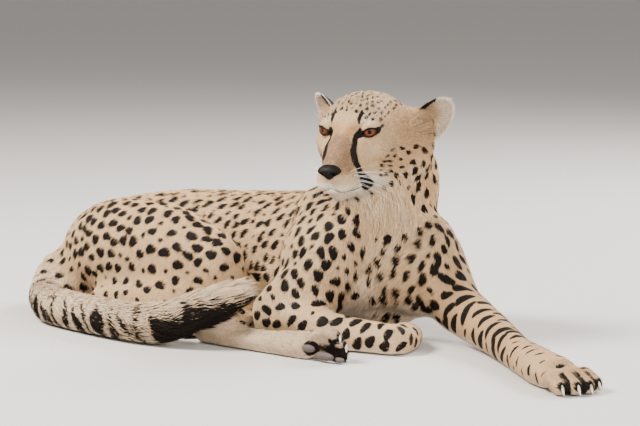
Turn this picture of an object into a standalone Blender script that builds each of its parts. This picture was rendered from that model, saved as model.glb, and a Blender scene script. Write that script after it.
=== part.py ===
"""A life-size cheetah at rest: lying on its chest and left hip, head turned to its right.

Metres, +Z up, +X towards the animal's chest, +Y to its left, the floor at z = 0.
The body is modelled whole, from limbs and muscles that are fused and smoothed, and is then
parted with thin cuts into the pieces that a person would name.
"""

import math

import bmesh
import bpy
from mathutils import Matrix, Vector

for old in list(bpy.data.objects):
    bpy.data.objects.remove(old, do_unlink=True)

GAP = 0.0003          # clear space between two neighbouring pieces
VOXEL = 0.004         # grain of the fused body
SOFTEN = 6            # rounds of smoothing after the fusing
HEAD_TRIANGLES, BODY_TRIANGLES = 1400, 2000
EYE_RADIUS = 0.016
EYE_FORWARD, EYE_ASIDE, EYE_UP = 0.030, 0.0335, 0.003
EAR_AT = (-0.066, 0.094, 0.014)
EAR_AIM = (-0.30, 0.65, 0.70)      # from the ear's base to its tip
EAR_MOUTH = (0.80, 0.55, -0.10)    # where the hollow side faces
EAR_HALF_WIDTH, EAR_HALF_HEIGHT, EAR_HALF_DEPTH, EAR_WALL = 0.027, 0.033, 0.016, 0.006
CLAW_LENGTH, CLAW_THICK = 0.015, 0.003
TOE_LENGTH, TOE_THICK = 0.030, 0.0125
TOE_ARCH = 0.010      # how far the middle toes reach past the outer ones
CAP_ANGLES = (25, 50, 72)
CAP_DEPTH = 0.95      # a rounded end's depth, in half widths

HEAD_AT = Vector((0.059, 0.023, 0.319))
HEAD_HEADING, HEAD_PITCH = math.radians(-79), math.radians(6)
HEAD_REACH = 0.125    # the head lies within this distance of HEAD_AT


# --- clay: closed shapes that are fused later ---------------------------------

def smooth_path(stations, rings_between):
    """Stations with a Catmull-Rom curve's rings between them."""
    rows = [Vector(s) for s in stations]
    rows = [2 * rows[0] - rows[1]] + rows + [2 * rows[-1] - rows[-2]]
    path = []
    for i in range(1, len(rows) - 2):
        a, b, c, d = rows[i - 1:i + 3]
        for k in range(rings_between):
            t = k / rings_between
            path.append(0.5 * ((2 * b) + (c - a) * t + (2 * a - 5 * b + 4 * c - d) * t * t
                               + (3 * b - a - 3 * c + d) * t ** 3))
    path.append(rows[-2])
    return path


def limb(clay, stations, lean=(0, 0, 1), grow=0.0, sides=20, rings=5, rounded=True, place=None):
    """A tube along stations (x, y, z, half width, half height), grown all round by grow.
    Height is measured along lean, and width across it. Its ends are rounded or flat."""
    path = smooth_path(stations, rings)
    centres = [Vector(p[:3]) for p in path]
    sizes = [(p[3] + grow, p[4] + grow) for p in path]
    steps = [(centres[i + 1] - centres[i - 1]).normalized() for i in range(1, len(path) - 1)]
    steps.insert(0, (centres[1] - centres[0]).normalized())
    steps.append((centres[-1] - centres[-2]).normalized())
    if not rounded:
        centres[0] -= steps[0] * grow
        centres[-1] += steps[-1] * grow
    rows = list(zip(centres, steps, sizes))

    def cap(centre, step, size, sign):
        depth = min(size) * CAP_DEPTH
        return [(centre + step * (sign * depth * math.sin(a)), step,
                 (size[0] * math.cos(a), size[1] * math.cos(a)))
                for a in map(math.radians, CAP_ANGLES)]

    if rounded:
        rows = cap(*rows[0], -1)[::-1] + rows + cap(*rows[-1], 1)
    up = Vector(lean)
    rings = []
    for centre, step, (wide, high) in rows:
        across = up.cross(step).normalized()
        upright = step.cross(across).normalized()
        ring = []
        for k in range(sides):
            a = 2 * math.pi * k / sides
            point = centre + across * (wide * math.cos(a)) + upright * (high * math.sin(a))
            ring.append(clay.verts.new(place @ point if place else point))
        rings.append(ring)
    for one, two in zip(rings, rings[1:]):
        for k in range(sides):
            clay.faces.new((one[k], one[(k + 1) % sides], two[(k + 1) % sides], two[k]))
    clay.faces.new(rings[0][::-1])
    clay.faces.new(rings[-1])


def ball(clay, centre, radii, place=None, segments=24, rings=16):
    matrix = Matrix.Translation(centre) @ Matrix.Diagonal((*radii, 1))
    if place:
        matrix = place @ matrix
    bmesh.ops.create_uvsphere(clay, u_segments=segments, v_segments=rings, radius=1.0, matrix=matrix)


def box(clay, centre, size, place=None):
    matrix = Matrix.Translation(centre) @ Matrix.Diagonal((*size, 1))
    bmesh.ops.create_cube(clay, size=1.0, matrix=place @ matrix if place else matrix)


HEAD = (Matrix.Translation(HEAD_AT) @ Matrix.Rotation(HEAD_HEADING, 4, "Z")
        @ Matrix.Rotation(HEAD_PITCH, 4, "Y"))


# --- the stations of each limb: x, y, z, half width, half height -----------------

TRUNK = [(-0.505, 0.020, 0.086, 0.062, 0.076), (-0.440, 0.045, 0.093, 0.082, 0.094),
         (-0.349, 0.073, 0.100, 0.084, 0.101), (-0.232, 0.105, 0.101, 0.090, 0.104),
         (-0.107, 0.112, 0.104, 0.098, 0.110), (-0.010, 0.108, 0.116, 0.100, 0.122),
         (0.062, 0.098, 0.106, 0.080, 0.104)]
NECK = [(-0.030, 0.118, 0.150, 0.100, 0.090), (0.032, 0.124, 0.212, 0.084, 0.084),
        (0.050, 0.104, 0.265, 0.074, 0.074), (0.045, 0.076, 0.305, 0.062, 0.062)]
RUFF = [(0.066, 0.040, 0.235, 0.056, 0.044), (0.068, 0.058, 0.190, 0.058, 0.050),
        (0.066, 0.075, 0.140, 0.052, 0.046)]
RUFF_LEAN = (0.643, -0.766, 0)
TAIL = [(-0.500, 0.015, 0.090, 0.036, 0.036), (-0.530, -0.040, 0.066, 0.031, 0.031),
        (-0.497, -0.098, 0.034, 0.032, 0.032), (-0.440, -0.145, 0.030, 0.034, 0.034),
        (-0.384, -0.174, 0.030, 0.034, 0.034), (-0.255, -0.196, 0.030, 0.034, 0.034),
        (-0.168, -0.200, 0.031, 0.034, 0.034), (-0.120, -0.196, 0.040, 0.033, 0.033),
        (-0.078, -0.180, 0.060, 0.031, 0.031), (-0.030, -0.144, 0.084, 0.023, 0.023)]
THIGH_RIGHT = [(-0.470, 0.000, 0.090, 0.070, 0.084), (-0.390, -0.025, 0.098, 0.078, 0.096),
               (-0.260, -0.045, 0.097, 0.066, 0.094), (-0.155, -0.050, 0.084, 0.044, 0.072)]
SHANK_RIGHT = [(-0.160, -0.052, 0.070, 0.042, 0.050), (-0.260, -0.085, 0.046, 0.042, 0.046),
               (-0.365, -0.096, 0.030, 0.026, 0.032)]
FOOT_RIGHT = [(-0.370, -0.100, 0.028, 0.024, 0.030), (-0.270, -0.108, 0.020, 0.022, 0.025),
              (-0.200, -0.113, 0.018, 0.028, 0.022), (-0.175, -0.114, 0.017, 0.028, 0.021)]
THIGH_LEFT = [(-0.470, 0.085, 0.074, 0.080, 0.078), (-0.340, 0.140, 0.058, 0.078, 0.064),
              (-0.180, 0.115, 0.046, 0.055, 0.052)]
SHANK_LEFT = [(-0.180, 0.110, 0.042, 0.048, 0.046), (-0.140, 0.000, 0.034, 0.040, 0.038),
              (-0.115, -0.110, 0.024, 0.028, 0.030)]
FOOT_LEFT = [(-0.110, -0.134, 0.023, 0.025, 0.028), (-0.007, -0.140, 0.020, 0.020, 0.025),
             (0.085, -0.140, 0.024, 0.021, 0.030), (0.140, -0.134, 0.024, 0.018, 0.029)]
SHOULDER_RIGHT = [(-0.040, 0.055, 0.180, 0.050, 0.055), (0.020, 0.022, 0.135, 0.060, 0.070),
                  (0.006, -0.010, 0.085, 0.052, 0.062), (-0.040, -0.048, 0.042, 0.040, 0.046)]
FOREARM_RIGHT = [(-0.048, -0.050, 0.040, 0.040, 0.046), (0.066, -0.056, 0.027, 0.030, 0.032),
                 (0.168, -0.038, 0.021, 0.025, 0.026)]
PAW_RIGHT = [(0.172, -0.030, 0.020, 0.026, 0.025), (0.152, 0.015, 0.018, 0.030, 0.023),
             (0.115, 0.030, 0.018, 0.032, 0.022)]
SHOULDER_LEFT = [(-0.020, 0.165, 0.182, 0.042, 0.050), (0.080, 0.150, 0.126, 0.054, 0.058),
                 (0.122, 0.134, 0.094, 0.051, 0.056), (0.172, 0.114, 0.054, 0.040, 0.046)]
FOREARM_LEFT = [(0.174, 0.113, 0.052, 0.040, 0.043), (0.280, 0.054, 0.034, 0.031, 0.034),
                (0.395, -0.034, 0.024, 0.024, 0.027)]
PAW_LEFT = [(0.395, -0.034, 0.024, 0.025, 0.027), (0.465, -0.080, 0.022, 0.032, 0.027),
            (0.516, -0.100, 0.019, 0.033, 0.022)]


# The head's own frame has x forward, y left and z up. A ball is its centre and its three radii.
SKULL = [((-0.020, 0, 0.002), (0.074, 0.068, 0.055)), ((0.010, 0, 0.008), (0.044, 0.052, 0.044)),
         ((-0.010, 0, -0.062), (0.056, 0.056, 0.046)), ((0.064, 0, -0.083), (0.021, 0.019, 0.015))]
SKULL_SIDES = [((0.077, 0.0165, -0.056), (0.022, 0.0185, 0.0195)),    # the whisker pad
               ((0.008, 0.037, 0.014), (0.028, 0.022, 0.022)),        # the brow
               ((0.002, 0.044, -0.020), (0.042, 0.026, 0.034)),       # the cheekbone
               ((0.044, 0.024, -0.030), (0.032, 0.018, 0.028)),       # the muzzle's side
               ((-0.022, 0.048, -0.030), (0.046, 0.032, 0.044)),      # the cheek
               ((-0.054, 0.066, -0.002), (0.032, 0.032, 0.032)),      # the ear's base
               ((-0.052, 0.042, -0.038), (0.050, 0.052, 0.062))]      # the mane behind the cheek
BRIDGE = [(0.024, 0, 0.018, 0.030, 0.022), (0.050, 0, 0.000, 0.022, 0.019),
          (0.076, 0, -0.026, 0.0190, 0.0150), (0.092, 0, -0.040, 0.0180, 0.0130)]
MUZZLE = [(0.010, 0, -0.035, 0.050, 0.040), (0.050, 0, -0.050, 0.036, 0.030),
          (0.076, 0, -0.056, 0.029, 0.023)]
JAWBONE = [(-0.020, 0.036, -0.062, 0.028, 0.026), (0.030, 0.022, -0.072, 0.022, 0.020),
           (0.060, 0.008, -0.080, 0.015, 0.015)]


def shape_head(clay):
    for stations in (BRIDGE, MUZZLE):
        limb(clay, stations, place=HEAD)
    for centre, radii in SKULL:
        ball(clay, centre, radii, place=HEAD)
    for side in (-1, 1):
        for (x, y, z), radii in SKULL_SIDES:
            ball(clay, (x, side * y, z), radii, place=HEAD)
        limb(clay, [(x, side * y, z, wide, high) for x, y, z, wide, high in JAWBONE], place=HEAD)


TOES_FRONT_LEFT = ((0.536, -0.108, 0.0125), (0.93, -0.37, 0), (0.37, 0.93, 0), (0, 0, 1), 0.028)
TOES_FRONT_RIGHT = ((0.100, 0.036, 0.0125), (-0.95, 0.3, 0), (0.3, 0.95, 0), (0, 0, 1), 0.026)
TOES_HIND_LEFT = ((0.150, -0.132, 0.026), (0.99, 0.05, -0.1), (0, -0.35, 0.93), (0, 1, 0), 0.024)
TOES_HIND_RIGHT = ((-0.155, -0.115, 0.0125), (1, -0.03, 0), (0.03, 1, 0), (0, 0, 1), 0.022)


def toe_tips(middle, ahead, across, top, spread):
    """The centre of each of the four toes' ends, with the way it points."""
    ahead = Vector(ahead).normalized()
    across = Vector(across).normalized()
    for k in range(4):
        offset = (k - 1.5) / 1.5
        reach = TOE_ARCH * (1 - offset * offset)
        yield Vector(middle) + across * (offset * spread) + ahead * reach, ahead, Vector(top)


def toes(clay, row):
    for tip, ahead, top in toe_tips(*row):
        start = tip - ahead * TOE_LENGTH
        stations = [(*start, TOE_THICK * 0.95, TOE_THICK), (*tip, TOE_THICK, TOE_THICK * 1.05)]
        limb(clay, stations, lean=top, sides=12)


def claw(clay, tip, ahead, top):
    root = tip + (ahead * 0.3 + top * 0.4) * TOE_THICK
    bend = root + (ahead * 0.6 + top * 0.07) * CLAW_LENGTH
    point = root + (ahead - top * 0.27) * CLAW_LENGTH
    stations = [(*root, CLAW_THICK * 0.7, CLAW_THICK), (*bend, CLAW_THICK * 0.6, CLAW_THICK * 0.9),
                (*point, CLAW_THICK * 0.3, CLAW_THICK * 0.4)]
    limb(clay, stations, lean=top, sides=6, rings=1)


# Flesh that fills the hollows between the limbs, each a centre and its three radii.
FLESH = [((-0.005, 0.020, 0.112), (0.082, 0.066, 0.088)), ((0.105, 0.115, 0.112), (0.064, 0.064, 0.088)),
         ((-0.400, -0.010, 0.078), (0.100, 0.070, 0.088)), ((-0.300, 0.010, 0.056), (0.110, 0.080, 0.064)),
         ((-0.110, 0.070, 0.060), (0.110, 0.082, 0.066)), ((-0.460, -0.040, 0.050), (0.065, 0.048, 0.056))]


def whole_body():
    clay = bmesh.new()
    for stations in (TRUNK, TAIL, THIGH_RIGHT, SHANK_RIGHT, FOOT_RIGHT, THIGH_LEFT, SHANK_LEFT, FOOT_LEFT,
                     SHOULDER_RIGHT, FOREARM_RIGHT, PAW_RIGHT, SHOULDER_LEFT, FOREARM_LEFT, PAW_LEFT):
        limb(clay, stations)
    limb(clay, NECK, lean=(1, 0, 0))
    limb(clay, RUFF, lean=RUFF_LEAN)
    shape_head(clay)
    for row in (TOES_FRONT_LEFT, TOES_FRONT_RIGHT, TOES_HIND_LEFT, TOES_HIND_RIGHT):
        toes(clay, row)
    for centre, radii in FLESH:
        ball(clay, centre, radii)
    bmesh.ops.recalc_face_normals(clay, faces=clay.faces)
    return clay


# --- cutting the body into named pieces -------------------------------------------

def object_of(name, shape):
    mesh = bpy.data.meshes.new(name)
    shape.to_mesh(mesh)
    shape.free()
    item = bpy.data.objects.new(name, mesh)
    bpy.context.scene.collection.objects.link(item)
    return item


def settle(item):
    """Applies the item's modifiers, and drops all but its largest closed body."""
    bpy.context.view_layer.update()
    graph = bpy.context.evaluated_depsgraph_get()
    mesh = bpy.data.meshes.new_from_object(item.evaluated_get(graph))
    item.modifiers.clear()
    item.data = mesh
    shape = bmesh.new()
    shape.from_mesh(mesh)
    bodies = []
    unseen = set(shape.verts)
    while unseen:
        body = {unseen.pop()}
        waiting = list(body)
        while waiting:
            vert = waiting.pop()
            for edge in vert.link_edges:
                other = edge.other_vert(vert)
                if other in unseen:
                    unseen.discard(other)
                    body.add(other)
                    waiting.append(other)
        bodies.append(body)
    bodies.remove(max(bodies, key=len))
    for scrap in bodies:
        bmesh.ops.delete(shape, geom=list(scrap), context="VERTS")
    shape.to_mesh(mesh)
    shape.free()
    return item


def near_head(point):
    return (point - HEAD_AT).length < HEAD_REACH


def fuse(item, voxel, rounds):
    remesh = item.modifiers.new("fuse", "REMESH")
    remesh.mode = "VOXEL"
    remesh.voxel_size = voxel
    soften = item.modifiers.new("soften", "SMOOTH")
    soften.factor = 0.5
    soften.iterations = rounds
    settle(item)
    item.data.calc_loop_triangles()
    fine = len(item.data.loop_triangles)
    fine_head = 2 * sum(near_head(face.center) for face in item.data.polygons)
    for keep, spare_head in (((fine_head + BODY_TRIANGLES) / fine, True),
                             ((HEAD_TRIANGLES + BODY_TRIANGLES) / (fine_head + BODY_TRIANGLES), False)):
        head = item.vertex_groups.new(name="head")
        head.add([v.index for v in item.data.vertices if near_head(v.co)], 1.0, "REPLACE")
        thin = item.modifiers.new("thin", "DECIMATE")
        thin.ratio = keep
        thin.vertex_group = "head"
        thin.vertex_group_factor = 1.0
        thin.invert_vertex_group = spare_head
        settle(item)
        item.vertex_groups.clear()
    return item


def cut(item, cutter, operation):
    """Uses the manifold solver, because the exact one leaves scraps where a shape's own faces cross."""
    boolean = item.modifiers.new("cut", "BOOLEAN")
    boolean.operation = operation
    boolean.solver = "MANIFOLD"
    boolean.object = cutter
    return settle(item)


def cutter_of(shape, extra, segments=12, rings=8):
    """The object that a piece is taken out with: a tube, a ball or a box, extra larger all round."""
    kind, sizes, place = shape
    clay = bmesh.new()
    if kind == "tube":
        limb(clay, sizes, grow=extra, sides=8, rings=1, rounded=False, place=place)
    elif kind == "ball":
        radii = [r + extra for r in sizes[1]]
        ball(clay, sizes[0], radii, place=place, segments=segments, rings=rings)
    else:
        box(clay, sizes[0], [2 * (r + extra) for r in sizes[1]], place=place)
    bmesh.ops.recalc_face_normals(clay, faces=clay.faces)
    bmesh.ops.triangulate(clay, faces=clay.faces, quad_method="FIXED")
    return object_of("cutter", clay)


def part_off(body, name, shape):
    """Takes what lies inside the shape out of the body as a piece of its own, one gap clear of the rest."""
    piece = body.copy()
    piece.data = body.data.copy()
    piece.name = name
    bpy.context.scene.collection.objects.link(piece)
    for item, extra, operation in ((piece, 0.0, "INTERSECT"), (body, GAP, "DIFFERENCE")):
        cutter = cutter_of(shape, extra)
        cut(item, cutter, operation)
        bpy.data.objects.remove(cutter)
    return piece


# Each piece with what takes it out of the body, the far ends of the limbs first.
CUTS = (
    ("tail_tip", ("tube", [(-0.190, -0.200, 0.030, 0.040, 0.045), (-0.120, -0.196, 0.040, 0.040, 0.044),
                           (-0.078, -0.180, 0.060, 0.037, 0.037), (0.000, -0.120, 0.098, 0.032, 0.036)],
                  None)),
    ("tail_middle", ("tube", [(-0.384, -0.174, 0.030, 0.042, 0.045), (-0.255, -0.196, 0.030, 0.042, 0.045),
                              (-0.160, -0.199, 0.031, 0.042, 0.045)], None)),
    ("tail_base", ("tube", [(-0.536, -0.068, 0.048, 0.042, 0.044), (-0.500, -0.108, 0.034, 0.040, 0.044),
                            (-0.440, -0.147, 0.030, 0.040, 0.045), (-0.365, -0.179, 0.030, 0.042, 0.045)],
                   None)),
    ("front_paw_left", ("tube", [(0.405, -0.041, 0.020, 0.045, 0.060),
                                 (0.600, -0.130, 0.020, 0.065, 0.060)], None)),
    ("forearm_left", ("tube", [(0.178, 0.108, 0.048, 0.074, 0.070), (0.300, 0.045, 0.040, 0.050, 0.060),
                               (0.420, -0.047, 0.020, 0.045, 0.060)], None)),
    ("upper_foreleg_left", ("ball", ((0.140, 0.165, 0.095), (0.100, 0.100, 0.130)), None)),
    ("front_paw_right", ("tube", [(0.158, -0.006, 0.010, 0.062, 0.038),
                                  (0.070, 0.062, 0.010, 0.050, 0.038)], None)),
    ("forearm_right", ("tube", [(-0.020, -0.055, 0.030, 0.054, 0.054), (0.080, -0.060, 0.028, 0.048, 0.050),
                                (0.230, -0.030, 0.020, 0.060, 0.050)], None)),
    ("upper_foreleg_right", ("ball", ((-0.010, -0.028, 0.080), (0.112, 0.092, 0.134)), None)),
    ("hind_foot_left", ("tube", [(-0.085, -0.139, 0.020, 0.034, 0.040), (0.050, -0.142, 0.022, 0.034, 0.046),
                                 (0.220, -0.130, 0.022, 0.046, 0.060)], None)),
    ("shank_left", ("tube", [(-0.160, 0.070, 0.040, 0.054, 0.054), (-0.140, 0.000, 0.034, 0.044, 0.046),
                             (-0.108, -0.175, 0.024, 0.036, 0.044)], None)),
    ("thigh_left", ("ball", ((-0.330, 0.150, 0.050), (0.200, 0.084, 0.084)), None)),
    ("hind_foot_right", ("tube", [(-0.352, -0.100, 0.030, 0.034, 0.042),
                                  (-0.270, -0.108, 0.020, 0.031, 0.036),
                                  (-0.100, -0.115, 0.018, 0.044, 0.036)], None)),
    ("shank_right", ("tube", [(-0.190, -0.064, 0.050, 0.046, 0.046),
                              (-0.390, -0.102, 0.028, 0.034, 0.042)], None)),
    ("thigh_right", ("ball", ((-0.310, -0.062, 0.088), (0.220, 0.098, 0.140)), None)),
    ("head", ("ball", ((-0.008, 0, -0.016), (0.132, 0.126, 0.118)), HEAD)),
    ("neck", ("box", ((0.060, 0.080, 0.300), (0.140, 0.140, 0.115)), None)),
    ("hips", ("box", ((-0.500, 0.000, 0.100), (0.210, 0.400, 0.200)), None)),
    ("belly", ("box", ((-0.280, 0.000, 0.100), (0.160, 0.400, 0.200)), None)),
)
JAW = ("box", ((0.084, 0, -0.102), (0.044, 0.080, 0.030)), HEAD)
NOSE = ((0.0960, 0, -0.0450), (0.0130, 0.0185, 0.0118))
SMALL_BALL = {"segments": 14, "rings": 9}

LOOKS = {"eye": ((0.55, 0.17, 0.03), 0.08), "nose": ((0.02, 0.016, 0.015), 0.45),
         "fur": ((0.66, 0.47, 0.28), 0.9)}    # colour and roughness


def ear(side):
    aim = Vector((EAR_AIM[0], side * EAR_AIM[1], EAR_AIM[2])).normalized()
    mouth = Vector((EAR_MOUTH[0], side * EAR_MOUTH[1], EAR_MOUTH[2]))
    mouth = (mouth - aim * mouth.dot(aim)).normalized()
    frame = Matrix((mouth, aim.cross(mouth), aim)).transposed().to_4x4()
    at = HEAD @ Matrix.Translation((EAR_AT[0], side * EAR_AT[1], EAR_AT[2])) @ frame
    shapes = []
    radii = Vector((EAR_HALF_DEPTH, EAR_HALF_WIDTH, EAR_HALF_HEIGHT))
    inside = radii - Vector((0, EAR_WALL, EAR_WALL)) * 0.6
    for name, forward, size in (("ear_left" if side > 0 else "ear_right", 0.0, radii),
                                ("hollow", EAR_WALL * 1.6, inside)):
        clay = bmesh.new()
        ball(clay, (forward, 0, 0), size, place=at, segments=14, rings=8)
        shapes.append(object_of(name, clay))
    cut(shapes[0], shapes[1], "DIFFERENCE")
    bpy.data.objects.remove(shapes[1])
    return shapes[0]


def cut_clear(item, other):
    """Cuts the other's shape, one gap larger, out of the item."""
    grown = other.copy()
    grown.data = other.data.copy()
    bpy.context.scene.collection.objects.link(grown)
    swell = grown.modifiers.new("swell", "DISPLACE")
    swell.strength = GAP
    swell.mid_level = 0.0
    settle(grown)
    cut(item, grown, "DIFFERENCE")
    bpy.data.objects.remove(grown)


def add_part(pieces, name, centre, radii):
    """A ball of its own, set in a hollow of the head one gap larger."""
    clay = bmesh.new()
    ball(clay, centre, radii, place=HEAD, **SMALL_BALL)
    pieces[name] = object_of(name, clay)
    hollow = cutter_of(("ball", (centre, radii), HEAD), GAP, **SMALL_BALL)
    cut(pieces["head"], hollow, "DIFFERENCE")
    bpy.data.objects.remove(hollow)


def add_claws(paw, row):
    for tip, ahead, top in toe_tips(*row):
        clay = bmesh.new()
        claw(clay, tip, ahead, top)
        bmesh.ops.recalc_face_normals(clay, faces=clay.faces)
        horn = object_of("horn", clay)
        cut(paw, horn, "UNION")
        bpy.data.objects.remove(horn)


def finish(pieces):
    """Centres the object over the origin, on the floor, and gives each piece its material."""
    corners = [v.co for piece in pieces.values() for v in piece.data.vertices]
    low = [min(c[i] for c in corners) for i in range(3)]
    high = [max(c[i] for c in corners) for i in range(3)]
    shift = Matrix.Translation((-(low[0] + high[0]) / 2, -(low[1] + high[1]) / 2, -low[2]))
    for name, piece in pieces.items():
        piece.data.transform(shift)
        piece.data.shade_smooth()
        colour, rough = LOOKS.get(name.split("_")[0], LOOKS["fur"])
        material = bpy.data.materials.new(name)
        material.use_nodes = True
        shader = material.node_tree.nodes["Principled BSDF"]
        shader.inputs["Base Color"].default_value = (*colour, 1)
        shader.inputs["Roughness"].default_value = rough
        piece.data.materials.clear()
        piece.data.materials.append(material)


def main():
    body = fuse(object_of("chest", whole_body()), VOXEL, SOFTEN)
    floor = cutter_of(("box", ((0, 0, -0.1), (2, 2, 0.1)), None), 0.0)
    cut(body, floor, "DIFFERENCE")
    bpy.data.objects.remove(floor)
    pieces = {name: part_off(body, name, shape) for name, shape in CUTS}
    pieces["chest"] = body
    pieces["jaw"] = part_off(pieces["head"], "jaw", JAW)
    add_part(pieces, "eye_left", (EYE_FORWARD, EYE_ASIDE, EYE_UP), (EYE_RADIUS,) * 3)
    add_part(pieces, "eye_right", (EYE_FORWARD, -EYE_ASIDE, EYE_UP), (EYE_RADIUS,) * 3)
    add_part(pieces, "nose", *NOSE)
    for side in (1, -1):
        flap = ear(side)
        pieces[flap.name] = flap
        cut_clear(flap, pieces["head"])
        cut_clear(flap, pieces["neck"])
    add_claws(pieces["front_paw_left"], TOES_FRONT_LEFT)
    add_claws(pieces["hind_foot_left"], TOES_HIND_LEFT)
    finish(pieces)


main()
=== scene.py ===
import math
import time

import bmesh
import bpy
import numpy as np
from mathutils import Matrix, Vector
from mathutils.kdtree import KDTree


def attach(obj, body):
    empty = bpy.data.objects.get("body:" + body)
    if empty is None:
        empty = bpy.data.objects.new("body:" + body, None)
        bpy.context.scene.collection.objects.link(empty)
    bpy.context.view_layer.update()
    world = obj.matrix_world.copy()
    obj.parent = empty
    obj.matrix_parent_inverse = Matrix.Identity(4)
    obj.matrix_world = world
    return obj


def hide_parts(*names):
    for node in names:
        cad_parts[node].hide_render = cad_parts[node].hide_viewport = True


started = time.time()
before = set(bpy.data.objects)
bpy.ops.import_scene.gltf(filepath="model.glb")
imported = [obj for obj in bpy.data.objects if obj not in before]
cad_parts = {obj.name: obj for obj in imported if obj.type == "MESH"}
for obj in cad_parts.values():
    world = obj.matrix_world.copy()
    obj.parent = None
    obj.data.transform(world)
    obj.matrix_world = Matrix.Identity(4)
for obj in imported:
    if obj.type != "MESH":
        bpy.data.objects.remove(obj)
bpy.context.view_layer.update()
dice = np.random.default_rng(7)


def report(words):
    print(f"{words}, {time.time() - started:.0f} s in")


def blur(low, high, x):
    # 0 at low, 1 at high, smooth between
    t = np.clip((x - low) / (high - low), 0, 1)
    return t * t * (3 - 2 * t)


def hill(x, middle, spread):
    # 1 in the middle, falling away on both sides
    return np.exp(-((x - middle) / spread) ** 2)


def mix(a, b, t):
    return a + (b - a) * t


def unit(rows):
    rows = np.asarray(rows, float)
    return rows / np.maximum(np.linalg.norm(rows, axis=-1, keepdims=True), 1e-9)


def dot(a, b):
    return (a * b).sum(-1, keepdims=True)


def read(items, key, width, kind=float):
    rows = np.empty(len(items) * width, kind)
    items.foreach_get(key, rows)
    return rows.reshape(-1, width)


def pointsOf(mesh):
    return read(mesh.vertices, "co", 3)


def normalsOf(mesh):
    return read(mesh.vertices, "normal", 3)


def movePoints(mesh, rows):
    mesh.vertices.foreach_set("co", rows.ravel())
    mesh.update()


def newObject(name, data):
    made = bpy.data.objects.new(name, data)
    bpy.context.scene.collection.objects.link(made)
    return made


def meshFrom(name, shape, spots=None):
    # a shape made by operators, with its points put elsewhere if spots says so
    mesh = bpy.data.meshes.new(name)
    shape.to_mesh(mesh)
    shape.free()
    if spots is not None:
        movePoints(mesh, spots)
    return mesh


def editMesh(mesh, work):
    shape = bmesh.new()
    shape.from_mesh(mesh)
    work(shape)
    shape.to_mesh(mesh)
    shape.free()


def cutToTriangles(shape):
    bmesh.ops.triangulate(shape, faces=shape.faces)


def addBall(shape, segments, rings, place=Matrix()):
    # the operator makes its faces in another order each time, so they are put in that of their points
    bmesh.ops.create_uvsphere(shape, u_segments=segments, v_segments=rings, radius=1, matrix=place)
    shape.verts.index_update()
    shape.faces.sort(key=lambda f: np.dot(sorted(v.index for v in f.verts)[:3], (1e8, 1e4, 1)))


def ballFrom(segments, rings):
    # a ball of radius 1, and its points
    shape = bmesh.new()
    addBall(shape, segments, rings)
    return shape, np.array([v.co for v in shape.verts])


def finishedMesh(piece):
    # what the modifiers or the bevel make of it
    bpy.context.view_layer.update()
    return bpy.data.meshes.new_from_object(piece.evaluated_get(bpy.context.evaluated_depsgraph_get()))


def eased(rows, edges, rounds, share=0.5):
    # each value drawn towards the mean of its neighbours
    a, b = edges.T
    count = len(rows)
    links = np.maximum(np.bincount(a, minlength=count) + np.bincount(b, minlength=count), 1)
    rows = rows.reshape(count, -1).copy()
    share = np.broadcast_to(np.asarray(share, float).reshape(-1, 1), (count, 1))
    for _ in range(rounds):
        mean = np.stack([np.bincount(a, col[b], count) + np.bincount(b, col[a], count) for col in rows.T], 1)
        rows += (mean / links[:, None] - rows) * share
    return rows


def treeOf(places):
    tree = KDTree(len(places))
    for k, place in enumerate(places):
        tree.insert(place, k)
    tree.balance()
    return tree


# the head's own axes: x forward, y to its left, z up
headPlace = {"at": (.0578, .0308, .319), "heading": -79, "pitch": 6}
headFrame = (Matrix.Translation(headPlace["at"]) @ Matrix.Rotation(math.radians(headPlace["heading"]), 4, "Z")
             @ Matrix.Rotation(math.radians(headPlace["pitch"]), 4, "Y"))
headTurn = np.array(headFrame.to_3x3())
headAt = np.array(headPlace["at"])


def toHead(rows):
    return (rows - headAt) @ headTurn


def fromHead(rows):
    return rows @ headTurn.T + headAt


def onHead(points, reach):
    return np.linalg.norm(points - headAt, axis=1) < reach


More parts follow.
